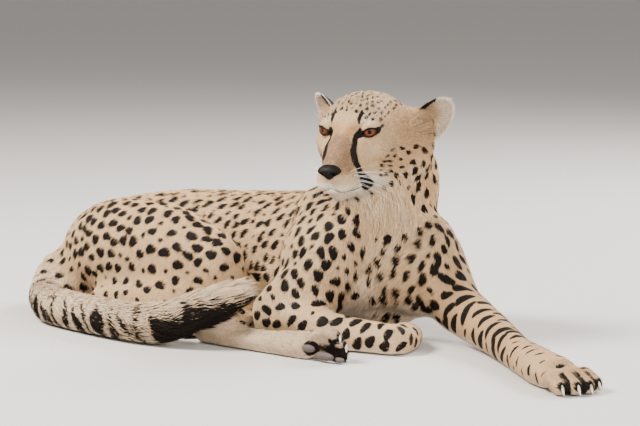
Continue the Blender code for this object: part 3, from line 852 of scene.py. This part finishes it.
def hairOnSkin():
    # how long the hair is and how it stands
    cheekBack = blur(.0, -.05, hx) * blur(.020, -.020, hz) * blur(.03, .06, wide)
    earFront = hill(hx, -.042, .016) * hill(wide, .080, .016) * hill(hz, .004, .03)
    onHeadLong = np.max([mix(.0105, .0045, blur(.000, .045, hx)), .021 * cheekBack, .024 * earFront,
                         .016 * blur(-.055, -.075, hz) * blur(.06, .0, hx), .0075 * blur(-.07, -.085, hz)], 0)
    lengths = mix(worn("length"), onHeadLong, headShare)
    tailEnd = .027 + .010 * blur(.85, .97, tailFar)
    lengths = mix(lengths, tailEnd, tailShare * blur(.55, .85, tailFar))
    lengths = np.maximum(lengths, .040 * chestShare * blur(.12, .20, height))
    pawShare = share("pawLeft", "pawRight", "footLeft", "footRight")
    toeShare = np.max([nearToes(points, row, -.045, -.015) for row in toeRows.values()], 0) * (pawShare > .5)
    lengths = mix(lengths, .0078, toeShare)
    lengths = mix(lengths, .004, blur(.012, .002, height) * blur(-.3, -.8, even[:, 2]))
    lifts = mix(np.radians(worn("lift")), math.radians(27), headShare * np.maximum(cheekBack, earFront))
    lifts = np.where(chestShare > .4, mix(lifts, math.radians(22), blur(.4, .8, chestShare)), lifts)
    return eased(lengths, edges, 3)[:, 0], mix(lifts, math.radians(17), toeShare)


lengths, lifts = hairOnSkin()


class Wire:
    # a socket that can be reckoned with: an expression adds its Math nodes
    def __init__(self, tree, socket):
        self.tree, self.socket = tree, socket

    def node(self, kind, settings=(), inputs=(), output=0):
        made = self.tree.nodes.new(kind)
        for key, value in dict(settings).items():
            setattr(made, key, value)
        for key, value in dict(inputs).items():
            if isinstance(value, Wire):
                self.tree.links.new(value.socket, made.inputs[key])
            else:
                made.inputs[key].default_value = value
        return Wire(self.tree, made.outputs[output])

    def maths(self, operation, *values):
        return self.node("ShaderNodeMath", {"operation": operation}, dict(enumerate(values)))

    def __add__(self, other):
        return self.maths("ADD", self, other)

    def __sub__(self, other):
        return self.maths("SUBTRACT", self, other)

    def __mul__(self, other):
        return self.maths("MULTIPLY", self, other)

    def __rsub__(self, other):
        return self.maths("SUBTRACT", other, self)

    __radd__ = __add__
    __rmul__ = __mul__

    def ramp(self, low, high):
        # 0 at low, 1 at high, smooth between
        return self.node("ShaderNodeMapRange", {"interpolation_type": "SMOOTHSTEP"},
                         {"Value": self, "From Min": low, "From Max": high})

    def tint(self, a, b):
        # colour a where this is 0, colour b where it is 1
        a, b = (colour if isinstance(colour, Wire) else (*colour, 1) for colour in (a, b))
        return self.node("ShaderNodeMix", {"data_type": "RGBA"}, {0: self, 6: a, 7: b}, 2)

    def shade(self, colour):
        # the colour made lighter or darker by this number
        return self.node("ShaderNodeVectorMath", {"operation": "SCALE"}, {0: colour, "Scale": self})


def newMaterial(name, settings):
    material = bpy.data.materials.new(name)
    material.use_nodes = True
    shader = material.node_tree.nodes["Principled BSDF"]
    for key, value in settings.items():
        shader.inputs[key].default_value = value
    return material, Wire(material.node_tree, None), shader


def feed(tools, shader, **sockets):
    for key, wire in sockets.items():
        tools.tree.links.new(wire.socket, shader.inputs[key.replace("_", " ")])


def parted(tools, name):
    # the three numbers of an attribute
    vector = tools.node("ShaderNodeAttribute", {"attribute_name": name}, (), "Vector")
    return [tools.node("ShaderNodeSeparateXYZ", (), {0: vector}, k) for k in range(3)]


def spotty(tools, scale, detail=2.0, rough=.5, vector=None):
    place = vector or tools.node("ShaderNodeTexCoord", (), (), "Object")
    return tools.node("ShaderNodeTexNoise", (),
                      {"Vector": place, "Scale": scale, "Detail": detail, "Roughness": rough})


def bumpy(tools, strength, depth, grain):
    return tools.node("ShaderNodeBump", (), {"Strength": strength, "Distance": depth, "Height": grain})


coatColours = {"tawny": (.670, .440, .240), "gold": (.570, .300, .120), "pale": (.870, .760, .600),
               "dusk": (.200, .128, .080), "black": (.0045, .0036, .0032), "blackTip": (.020, .012, .008)}


def coatMaterial():
    material, tools, shader = newMaterial("coat", {"Roughness": .78, "Specular IOR Level": .10})
    mark, paleness, warmth = parted(tools, "marks")
    onward, chance, duskiness = parted(tools, "lock")
    cloud = spotty(tools, 26.0, 3.0)
    fine = spotty(tools, 300.0, 2.0)
    hair = (warmth + (cloud - .5) * .55).ramp(.0, 1.0).tint(coatColours["tawny"], coatColours["gold"])
    hair = (paleness + (cloud - .5) * .45 + (chance - .5) * .25).ramp(.0, .95).tint(hair, coatColours["pale"])
    # single dark hairs among the light ones
    hair = (duskiness * .52).tint(hair, coatColours["dusk"])
    fleck = spotty(tools, 420.0, 1.0)
    clump = spotty(tools, 120.0, 1.0)
    tick = (.16 + chance * .60 + duskiness * (.28 + clump * .42) + (fleck - .5) * .8).ramp(.80, 1.0)
    hair = (tick * .85).tint(hair, coatColours["dusk"])
    # painted shade: each lock is darker at its root and lighter at its tip, as shade deep in the coat; locks
    # and small patches also differ at random
    hair = (.62 + onward * .44 + (chance - .5) * .42 + (fine - .5) * .40).shade(hair)
    inside = (mark + (fine - .5) * .0020).ramp(.0007, -.0008)
    dark = (onward * chance).tint(coatColours["black"], coatColours["blackTip"])
    bump = bumpy(tools, .35, .0012, spotty(tools, 520.0, 3.0))
    feed(tools, shader, Base_Color=inside.tint(hair, dark), Roughness=.82 - inside * .16, Normal=bump)
    return material


coatFinish = coatMaterial()


def putVector(mesh, name, columns):
    layer = mesh.attributes.new(name, "FLOAT_VECTOR", "POINT")
    layer.data.foreach_set("vector", np.stack(columns, 1).astype(np.float32).ravel())


def unwrap(piece, margin, turnOut):
    # alone in the selection, or other objects would share its map
    bpy.ops.object.select_all(action="DESELECT")
    bpy.context.view_layer.objects.active = piece
    piece.select_set(True)
    bpy.ops.object.mode_set(mode="EDIT")
    bpy.ops.mesh.select_all(action="SELECT")
    if turnOut:
        bpy.ops.mesh.normals_make_consistent(inside=False)
    bpy.ops.uv.smart_project(angle_limit=math.radians(66), island_margin=margin)
    bpy.ops.object.mode_set(mode="OBJECT")
    piece.data.uv_layers[0].name = "OFBake"


def finishPiece(name, mesh, finish, slotName, *replaced):
    # a made mesh turned to a piece of the body, unwrapped for its colours
    piece = newObject(name, mesh)
    mesh.materials.append(finish)
    mesh.shade_smooth()
    unwrap(piece, .002, True)
    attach(piece, "root")
    if replaced:
        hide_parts(*replaced)
    return piece


def surfaceOf(mesh, places):
    # what growCoat needs of a mesh of triangles
    triangles = read(mesh.polygons, "vertices", 3, int)
    corners = places[triangles]
    facing = np.cross(corners[:, 1] - corners[:, 0], corners[:, 2] - corners[:, 0])
    bakeMap = read(mesh.uv_layers["OFBake"].data, "uv", 2).reshape(-1, 3, 2)
    return {"points": places, "triangles": triangles, "corners": corners, "facing": facing, "map": bakeMap,
            "areas": np.linalg.norm(facing, axis=1) / 2}


def finishSkin():
    mesh = skin.data
    editMesh(mesh, cutToTriangles)
    movePoints(mesh, points)
    putVector(mesh, "marks", (marks, pale, warm))
    # the skin under the coat counts as a lock's lower part, so the material darkens it: painted shade beneath
    # the hair
    putVector(mesh, "lock", (np.full(len(points), .30), np.full(len(points), .5), dusk))
    mesh.materials.clear()
    mesh.materials.append(coatFinish)
    mesh.shade_smooth()
    unwrap(skin, .001, False)
    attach(skin, "root")
    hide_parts(*[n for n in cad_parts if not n.startswith(("ear", "eye", "nose"))])
    report("skin unwrapped")


def bodyMarks(place, up, at, ahead=0):
    return drawMarks(place, up, at(tailRun) + ahead, at(tailShare) > .5)


finishSkin()
bodySource = surfaceOf(skin.data, points)
bodySource |= {"up": even, "lie": flow, "long": lengths, "lift": lifts,
               "tones": np.stack((pale, warm, dusk), 1), "marksAt": bodyMarks}

# A lock is a thin pyramid of hair, and a curled one has a bend in its middle. onward: how far along it each of
# its points is; pattern: its triangles; patch: where its points lie on its patch of the map; spread: the side
# each is on.
lockForms = {
    "straight": {"onward": (.0, .0, .0, 1.0),
                 "pattern": [(0, 2, 1), (0, 1, 3), (1, 2, 3), (2, 0, 3)],
                 "patch": [(-1, -1), (1, -1), (0, -.4), (0, 1)],
                 "spread": [-1, 1, 0, 0]},
    "curled": {"onward": (.0, .0, .0, .55, .55, .55, 1.0),
               "pattern": [(0, 2, 1), (0, 1, 4), (0, 4, 3), (1, 2, 5), (1, 5, 4), (2, 0, 3), (2, 3, 5),
                           (3, 4, 6), (4, 5, 6), (5, 3, 6)],
               "patch": [(-1, -1), (1, -1), (0, -.6), (-.8, 0), (.8, 0), (0, .3), (0, 1)],
               "spread": [-1, 1, 0, -1, 1, 0, 0]},
}
# how deep a lock's root sits in the skin, how thick it is by its width, and its patch's half size on the map
lockSettings = {"sunk": .0012, "thick": .42, "patch": .0015, "floor": .0004}


def triangleMesh(name, vertices, pattern):
    # a mesh of one shape many times over; vertices holds a row of points for each
    count, size = vertices.shape[:2]
    loops = (np.array(pattern)[None] + np.arange(count)[:, None, None] * size).reshape(-1, 3)
    mesh = bpy.data.meshes.new(name)
    mesh.vertices.add(count * size)
    mesh.vertices.foreach_set("co", vertices.ravel())
    mesh.loops.add(len(loops) * 3)
    mesh.loops.foreach_set("vertex_index", loops.ravel())
    mesh.polygons.add(len(loops))
    mesh.polygons.foreach_set("loop_start", np.arange(len(loops)) * 3)
    mesh.update(calc_edges=True)
    print(f"{name}: {count} locks, {len(loops)} triangles")
    return mesh


def growCoat(name, settings, faces, source):
    # source holds what the skin beneath knows: surfaceOf's measures, up, lie, long, lift, tones and marksAt
    wanted = source["areas"][faces] / settings["each"]
    face = np.repeat(faces, np.floor(wanted + dice.random(len(faces))).astype(int))
    count = len(face)
    u, v = dice.random((2, count))
    over = u + v > 1
    u, v = np.where(over, 1 - u, u), np.where(over, 1 - v, v)
    corner = np.stack((1 - u - v, u, v), 1)
    ends = source["triangles"][face]

    def at(values):
        return (values[ends] * corner.reshape(count, 3, *[1] * (values.ndim - 1))).sum(1)

    place, up, lie = at(source["points"]), unit(at(source["up"])), unit(at(source["lie"]))
    long, lift, tones = at(source["long"]), at(source["lift"]), at(source["tones"])
    mark = source["marksAt"](place, up, at)
    mapHere = (source["map"][face] * corner[:, :, None]).sum(1)
    # neighbours sway together, and each hair strays a little more
    sway = wave(place, .15, 150, 70, 120) + wave(place, .12, -90, 210, 160, phase=2)
    turn = sway + dice.normal(0, .13, count)
    lift = lift * dice.uniform(.65, 1.4, count) + wave(place, .04, 330, -270, 250)
    long = long * dice.uniform(.7, 1.2, count)
    lie = unit(lie - up * dot(lie, up))
    side = np.cross(up, lie)
    lie = lie * np.cos(turn)[:, None] + side * np.sin(turn)[:, None]
    side = np.cross(up, lie)
    aim = lie * np.cos(lift)[:, None] + up * np.sin(lift)[:, None]
    crest = up * np.cos(lift)[:, None] - lie * np.sin(lift)[:, None]
    wide = (settings["wide"] * dice.uniform(.75, 1.2, count))[:, None]
    thick = wide * lockSettings["thick"]
    # the lock is rooted behind the place it colours, so that a mark keeps its edges
    behind = np.minimum(long * .55, .0055 + .3 * np.maximum(long - .012, 0))
    root = place - up * lockSettings["sunk"] - lie * behind[:, None]
    ahead = (long - behind) * .85
    markTip = mark
    if "follow" in settings:
        markTip = source["marksAt"](place + lie * ahead[:, None], up, at, ahead)
    long = (long + lockSettings["sunk"])[:, None]
    outline = [root - side * wide * .5, root + side * wide * .5, root + crest * thick]
    if "curl" in settings:
        bend = unit(aim - up * (settings["curl"] * np.sin(lift))[:, None])
        middle = root + aim * long * .5
        outline += [middle - side * wide * .42, middle + side * wide * .42, middle + crest * thick * .8,
                    middle + bend * long * .5]
    else:
        outline.append(root + aim * long)
    form = lockForms["curled" if "curl" in settings else "straight"]
    vertices = np.stack(outline, 1)
    vertices[:, :, 2] = np.maximum(vertices[:, :, 2], lockSettings["floor"])
    size, onward = len(outline), np.array(form["onward"])
    mesh = triangleMesh(name, vertices, form["pattern"])
    patches = mapHere[:, None] + np.array(form["patch"])[None] * lockSettings["patch"]
    uv = mesh.uv_layers.new(name="OFBake")
    uv.data.foreach_set("uv", patches[:, np.array(form["pattern"]).ravel()].reshape(-1))
    mark = np.where(onward < 1, mark[:, None], markTip[:, None])
    mark += (dice.normal(0, 1, count) * settings.get("stray", .0003) * (1 + tones[:, 2] * 2))[:, None]
    putVector(mesh, "marks", (mark.ravel(), *np.repeat(tones[:, :2], size, 0).T))
    chance = dice.random(count)
    putVector(mesh, "lock", (np.tile(onward, count), np.repeat(chance, size), np.repeat(tones[:, 2], size)))
    mesh.materials.append(coatFinish)
    mesh.shade_smooth()
    # a coat catches the light as one surface, so each lock's normals lean to the skin's
    sideways = side[:, None] * np.array(form["spread"])[None, :, None]
    soft = unit(up[:, None] * .8 + sideways * .35 + lie[:, None] * .12)
    mesh.normals_split_custom_set_from_vertices(soft.reshape(-1, 3).astype(np.float32))
    piece = newObject(name, mesh)
    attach(piece, "root")


# each: skin area for one lock; wide: its width at the root; curl: how far its tip bends back to the skin, if
# at all; follow: the marks are reckoned at the tip too; stray: how far marks blur; span: the piece's share of
# the region, as an axis and its limits
coats = {
    "coatFace": dict(parts=("head",), each=.00000105, wide=.00085, span=("head", .012, .2)),
    "coatCheeks": dict(parts=("head",), each=.0000024, wide=.0012, curl=.6, follow=1, span=("head", -.2, .012)),
    "coatNeck": dict(parts=("neck",), each=.0000042, wide=.0017, curl=.6, follow=1),
    "coatChest": dict(parts=("chest",), each=.0000044, wide=.0018, curl=.7, follow=1),
    "coatFlank": dict(parts=("trunk",), each=.0000029, wide=.0014, span=("x", -.22, .3)),
    "coatRump": dict(parts=("trunk",), each=.0000029, wide=.0014, span=("x", -.8, -.22)),
    "coatThighRight": dict(parts=("thighRight",), each=.0000027, wide=.0014),
    "coatThighLeft": dict(parts=("thighLeft",), each=.0000034, wide=.0015),
    "coatShoulders": dict(parts=("shoulderRight", "shoulderLeft"), each=.0000029, wide=.0014),
    "coatForelegs": dict(parts=("forearmRight", "forearmLeft", "pawRight", "pawLeft"), each=.0000031,
                         wide=.0012),
    "coatHindlegs": dict(parts=("shankRight", "shankLeft", "footRight", "footLeft"), each=.0000036,
                         wide=.0012),
    "coatTail": dict(parts=("tail",), each=.0000056, wide=.0015, curl=.6, follow=1, stray=.0012),
}


def coveredFaces():
    # all of the skin but its underside on the floor, the eyes' openings and the nose
    corners, areas = bodySource["corners"], bodySource["areas"]
    hidden = (corners[:, :, 2].mean(1) < .0045) & (bodySource["facing"][:, 2] / (2 * areas + 1e-12) < -.85)
    lids = [lidGap(rows, side) for side in (1, -1)]
    eyeGap = np.minimum(*[gap + 9 * (reach > .03) for gap, reach, *_ in lids])
    noseGap = np.linalg.norm((rows - noseSettings["at"]) / noseSettings["radii"], axis=1) - 1
    bare = np.where(onHead(points, .13), np.minimum(eyeGap / .0012, noseGap / .05), 9)
    return ~hidden & ~(bare[bodySource["triangles"]].min(1) < 1)


def growBody():
    triangles, covered = bodySource["triangles"], coveredFaces()
    strongest = weights[:, triangles].mean(2).argmax(0)
    spans = {"head": rows[triangles].mean(1)[:, 0], "x": bodySource["corners"][:, :, 0].mean(1)}
    for name, settings in coats.items():
        chosen = np.isin(strongest, rowsOf(*settings["parts"])) & covered
        if "span" in settings:
            axis, low, high = settings["span"]
            chosen &= (spans[axis] >= low) & (spans[axis] < high)
        growCoat(name, settings, np.flatnonzero(chosen), bodySource)


growBody()
report("coat grown")


def eyeMaterial():
    settings = {"Coat Weight": .32, "Coat Roughness": .03, "Coat IOR": 1.38, "Specular IOR Level": .0}
    material, tools, shader = newMaterial("eye", settings)
    angle, east, north = parted(tools, "iris")
    place = tools.node("ShaderNodeCombineXYZ", (), {0: east * 7, 1: north * 7, 2: angle * 1.5})
    streak = spotty(tools, 1.6, 3.0, .6, place)
    # the iris's colours are darkened, partly as painted shade cast by the lids and brow
    iris = (angle + (streak - .5) * .22).ramp(.16, .58).tint((.175, .050, .023), (.095, .021, .010))
    iris = (.72 + streak * .55).shade(iris)
    colour = (angle + (streak - .5) * .05).ramp(.50, .66).tint(iris, (.010, .006, .004))
    colour = angle.ramp(.205, .185).tint(colour, (.003, .003, .003))
    feed(tools, shader, Base_Color=colour, Roughness=.22 - angle.ramp(.2, .18) * .1)
    return material


def makeEye(name, side, node, finish):
    shape, ball = ballFrom(56, 40)
    gaze, _, up = eyeAxes(side)
    angle = np.arctan2(np.hypot(ball[:, 0], ball[:, 1]), ball[:, 2])
    bearing = np.arctan2(ball[:, 1], ball[:, 0])
    # the clear front stands out
    reach = eyeSettings["radius"] + .0011 * np.clip(1 - (angle / .75) ** 2, 0, 1)
    spots = ball @ np.array((np.cross(up, gaze), up, gaze)) * reach[:, None]
    mesh = meshFrom(name, shape, fromHead(spots + mirrored(eyeSettings["at"], side)))
    putVector(mesh, "iris", (angle, np.cos(bearing), np.sin(bearing)))
    finishPiece(name, mesh, finish, "eye", node)


eyeFinish = eyeMaterial()
makeEye("eyeNear", 1, "eye_left", eyeFinish)
makeEye("eyeFar", -1, "eye_right", eyeFinish)
report("eyes made")


def noseMaterial():
    material, tools, shader = newMaterial("nose", {"Specular IOR Level": .11})
    grit = spotty(tools, 900.0, 2.0)
    # painted shade: the nostrils' hollows are darkened nearly to black
    nostrilShade = parted(tools, "nostrilShade")[0]
    leather = spotty(tools, 60.0).tint((.0030, .0024, .0023), (.0075, .0056, .0052))
    colour = ((.55 + grit * .9) * (1 - nostrilShade * .95)).shade(leather)
    feed(tools, shader, Base_Color=colour, Roughness=.42 + grit * .2, Normal=bumpy(tools, .5, .0006, grit))
    return material


# in radii of the nose: how narrow it is beneath, each nostril and its rim as middle, spread and depth, and
# the groove's half width and depth
noseForm = {"narrow": .26, "nostril": ((.70, .56, -.16), (.55, .27, .26), .62),
            "rim": ((.72, .62, .16), (.5, .28, .22), .10), "groove": (.14, .26)}


def makeNose():
    shape, ball = ballFrom(72, 48)
    x, y, z = ball.T
    shrink = mix(noseForm["narrow"], 1, blur(-1.0, .15, z)) * mix(1, .86, blur(.3, 1, z))
    made = np.stack((x * (1 - .22 * blur(-.1, -1, z)), y * shrink, z), 1)
    # how deep in a nostril each point lies, for the painted shade that darkens the hollows
    nostrilShade = np.zeros(len(ball))
    for side in (1, -1):
        hole, rim = (((ball - mirrored(middle, side)) / spread) ** 2
                     for middle, spread, _ in (noseForm["nostril"], noseForm["rim"]))
        made[:, 0] -= noseForm["nostril"][2] * np.exp(-hole.sum(1) * 2.2)
        nostrilShade = np.maximum(nostrilShade, np.exp(-hole.sum(1) * 1.6))
        made[:, 0] += noseForm["rim"][2] * np.exp(-rim.sum(1) * 2)
    half, deep = noseForm["groove"]
    made[:, 0] -= deep * hill(y, 0, half) * blur(.25, -.25, z) * (x > 0)
    made[:, 2] -= .10 * hill(y, 0, .4) * blur(.2, .9, z)
    mesh = meshFrom("nose", shape, fromHead(np.array(noseSettings["at"]) + made * noseSettings["radii"]))
    putVector(mesh, "nostrilShade", (nostrilShade, nostrilShade, nostrilShade))
    finishPiece("noseLeather", mesh, noseMaterial(), "nose", "nose")


makeNose()

# An ear is a thin cup. aim: the way its tip points; mouth: the way it opens; half: its half width and height.
earSettings = {"at": (-.0625, .0925, .0085), "aim": (-.30, .60, .74), "mouth": (.60, .79, -.14),
               "half": (.0258, .0338), "deep": .0165, "wall": .0022,
               "back": {"each": .00000085, "wide": .0010},
               "fluff": {"each": .0000016, "wide": .00080, "curl": .5}}


def earAxes(side):
    aim, mouth = (unit(earSettings[k]) for k in ("aim", "mouth"))
    mouth = unit(mouth - aim * (aim @ mouth))
    return [mirrored(way, side) for way in (aim, mouth, np.cross(aim, mouth))]


def earCup(side):
    # a ball whose front half is pressed into its back half; r: 0 at the cup's middle, 1 at its rim
    aim, mouth, wide = earAxes(side)
    shape, ball = ballFrom(44, 60)
    fall = np.arctan2(np.hypot(ball[:, 0], ball[:, 1]), ball[:, 2]) / (math.pi / 2)
    onBack = fall > 1.01
    r = np.where(onBack, 2 - fall, fall)
    turn = np.arctan2(ball[:, 1], ball[:, 0])
    outwards = r * np.cos(turn) * (1 - .16 * np.sin(turn) * r) * earSettings["half"][0]
    upwards = r * np.sin(turn) * earSettings["half"][1] * (1 + .05 * np.sin(turn) * r)
    bowl = -earSettings["deep"] * (1 - r ** 2.2) + .0035 * np.cos(turn) * r ** 3
    bowl -= .002 * (1 - np.abs(np.sin(turn))) * r
    spots = outwards[:, None] * wide + upwards[:, None] * aim + bowl[:, None] * mouth
    flat = unit(np.stack((outwards, upwards), 1) + 1e-9)
    radial = flat[:, :1] * wide + flat[:, 1:] * aim
    tilt = (r ** 1.6)[:, None]
    behind = unit(-(1.05 - tilt * .75) * mouth + tilt * radial)
    spots += behind * (earSettings["wall"] * np.where(onBack, 1, .5 * (r > .99)))[:, None]
    lie = np.where(onBack[:, None], aim, unit(radial * .8 + mouth * .5)) @ headTurn.T
    return shape, spots, onBack, r, np.sin(turn) * r, outwards / earSettings["half"][0], lie


def makeEar(name, side, node):
    shape, spots, onBack, r, high, edge, lie = earCup(side)
    mesh = meshFrom(name, shape, fromHead(spots + mirrored(earSettings["at"], side)))
    # The back is black but for its base and rim. The hollow's hair is cream with a black inner edge; in front
    # of its base it is browner and darker, partly the fur's own colour and partly painted shade deep in the
    # cup.
    mark = np.where((edge < -.62) & (high > -.15), -.01, .02)
    mark = np.where(onBack, np.maximum(np.abs(high - .25) - .42, r - .90) * .03, mark)
    baseBrownAndShade = blur(.80, .0, high) * blur(.95, .05, edge)
    backTones = np.stack((.45 + .5 * (r > .85), .12 + 0 * r, .3 + 0 * r), 1)
    tones = np.where(onBack[:, None], backTones,
                     np.stack((mix(.56, .05, baseBrownAndShade), mix(.20, .30, baseBrownAndShade), mix(.05, .72, baseBrownAndShade)), 1))
    putVector(mesh, "marks", (mark, tones[:, 0], tones[:, 1]))
    # the ear's skin also gets a lock's lower shading, darker within the cup than on the back: painted shade
    putVector(mesh, "lock", (np.where(onBack, .35, .25), np.full(len(r), .5), tones[:, 2]))
    finishPiece(name, mesh, coatFinish, "coat", node)
    editMesh(mesh, cutToTriangles)
    source = surfaceOf(mesh, pointsOf(mesh))
    fluffLong = mix(.0090, .0078, blur(.45, .95, r)) + .010 * blur(-.2, -.8, high)
    source |= {"up": normalsOf(mesh), "lie": lie, "long": np.where(onBack, .0058, fluffLong), "tones": tones,
               "lift": np.radians(np.where(onBack, 13, 20)), "marksAt": lambda place, up, at: at(mark)}
    backShare, where = onBack[source["triangles"]].mean(1), r[source["triangles"]].mean(1)
    growCoat(name + "Coat", earSettings["back"], np.flatnonzero(backShare > .4), source)
    growCoat(name + "Fluff", earSettings["fluff"], np.flatnonzero((backShare < .6) & (where > .18)), source)


makeEar("earNear", 1, "ear_left")
makeEar("earFar", -1, "ear_right")
report("ears made")


def rodsFrom(name, rods, sides):
    # rods through lines of points with a radius at each, as one bevelled curve turned to a mesh
    curve = bpy.data.curves.new(name, "CURVE")
    curve.dimensions = "3D"
    curve.bevel_depth, curve.bevel_resolution, curve.use_fill_caps = 1, sides, True
    for line, radii in rods:
        spline = curve.splines.new("POLY")
        spline.points.add(len(line) - 1)
        for point, place, radius in zip(spline.points, line, radii):
            point.co, point.radius = (*place, 1), radius
    guide = newObject(name, curve)
    mesh = finishedMesh(guide)
    bpy.data.objects.remove(guide)
    return mesh


def plainMaterial(name, colours, rough, scale=200.0, depth=.0004):
    material, tools, shader = newMaterial(name, {"Roughness": rough})
    grain = spotty(tools, scale, 3.0)
    bump = bumpy(tools, .4, depth, grain)
    feed(tools, shader, Base_Color=grain.tint(*colours), Normal=bump)
    return material


def steps(count):
    return np.linspace(0, 1, count)[:, None]


def makeWhiskers():
    rods = []
    for at, k, i, j, side in whiskerRoots:
        out = even[k] @ headTurn
        backward = .25 * dice.random() - .75
        aim = unit(out * .75 + np.array((backward, side * .45, .10 - .16 * i + .08 * dice.normal())))
        long = mix(*whiskerRows["long"], (j + .5) / whiskerRows["count"]) * dice.uniform(.8, 1.1)
        t = steps(9)
        line = at - out * .001 + aim * long * t + np.array((-.10, side * .02, -.22)) * long * t ** 2
        rods.append((fromHead(line), whiskerRows["thick"] * (1.08 - t[:, 0])))
    # and three over each eye
    for side in (1, -1):
        for j in range(3):
            at, k, _ = skinTree.find((.046, side * (.027 + .005 * j), .0165))
            t = steps(7)
            aim = unit(even[k] @ headTurn + np.array((.1, side * .5, .8)))
            line = np.array(at) + aim * .026 * t + np.array((-.3, side * .3, .0)) * .02 * t ** 2
            rods.append((fromHead(line), .00022 * (1.08 - t[:, 0])))
    finish = plainMaterial("whisker", ((.86, .82, .76), (.93, .90, .86)), .4)
    finishPiece("whiskers", rodsFrom("whiskers", rods, 0), finish, "coat")


clawSettings = {"rows": ("frontLeft", "hindLeft", "frontRight"), "thick": .0026, "long": .0085, "drop": .0135}


def makeClaws():
    rods = []
    for name in clawSettings["rows"]:
        row = toeRows[name]
        for tip, fan, top in toeBars(row):
            root = tip + fan * row["thick"] * .72 + top * .0025
            t = steps(8)
            drop = top if abs(top[2]) > .5 else top * .5 + np.array((0, 0, .6))
            line = root + fan * (clawSettings["long"] * t - .004) - drop * (clawSettings["drop"] * t ** 1.6)
            line[:, 2] = np.maximum(line[:, 2], .0028)
            rods.append((line, clawSettings["thick"] * np.sqrt(np.maximum(1 - t[:, 0] ** 1.5, .004))))
    finish = plainMaterial("claw", ((.62, .53, .42), (.78, .70, .60)), .35)
    finishPiece("claws", rodsFrom("claws", rods, 2), finish, "coat")


def makePads():
    shape = bmesh.new()
    for middle, radii, _ in padSettings:
        place = Matrix.Translation(middle) @ Matrix.Rotation(.12, 4, "X") @ Matrix.Diagonal((*radii, 1))
        addBall(shape, 28, 18, place)
    finish = plainMaterial("pad", ((.060, .040, .037), (.105, .073, .068)), .7, 260.0, .0008)
    finishPiece("pads", meshFrom("pads", shape), finish, "coat")


makeWhiskers()
makeClaws()
makePads()
report("whiskers, claws and pads made")

view = {"at": (2.152, -2.558, .591), "turn": 40, "down": 6.81, "lens": 126.2}
lamps = {
    "key": {"at": (-1.7, -2.0, 2.9), "size": 1.4, "power": 380, "colour": (1, .97, .92)},
    "fill": {"at": (2.6, -1.6, 1.6), "size": 2.2, "power": 125, "colour": (1, .98, .95)},
    "back": {"at": (.5, 2.8, 2.4), "size": 1.8, "power": 230, "colour": (1, .98, .95)},
}
studio = {"floor": (.60, .57, .54, 1), "air": (.92, .90, .88, 1), "strength": .50, "aim": (0, 0, .15)}


def placeCamera():
    data = bpy.data.cameras.new("camera")
    data.lens = view["lens"]
    data.sensor_width = 36
    camera = newObject("camera", data)
    camera.location = view["at"]
    camera.rotation_euler = (math.radians(90 - view["down"]), 0, math.radians(view["turn"]))
    bpy.context.scene.camera = camera


def layFloor():
    shape = bmesh.new()
    bmesh.ops.create_grid(shape, x_segments=2, y_segments=2, size=70)
    floor = newObject("floor", meshFrom("floor", shape))
    paint, *_ = newMaterial("floorPaint", {"Roughness": .9, "Base Color": studio["floor"]})
    floor.data.materials.append(paint)


def hangLamps():
    for name, lamp in lamps.items():
        data = bpy.data.lights.new(name, "AREA")
        data.shape = "DISK"
        data.size, data.energy, data.color = lamp["size"], lamp["power"], lamp["colour"]
        hung = newObject(name, data)
        hung.location = lamp["at"]
        hung.rotation_euler = (Vector(studio["aim"]) - Vector(lamp["at"])).to_track_quat("-Z", "Y").to_euler()


def lightAir():
    world = bpy.data.worlds.new("studio")
    world.use_nodes = True
    air = world.node_tree.nodes["Background"]
    air.inputs["Color"].default_value = studio["air"]
    air.inputs["Strength"].default_value = studio["strength"]
    bpy.context.scene.world = world


placeCamera()
layFloor()
hangLamps()
lightAir()

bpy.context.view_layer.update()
report("all pieces made")
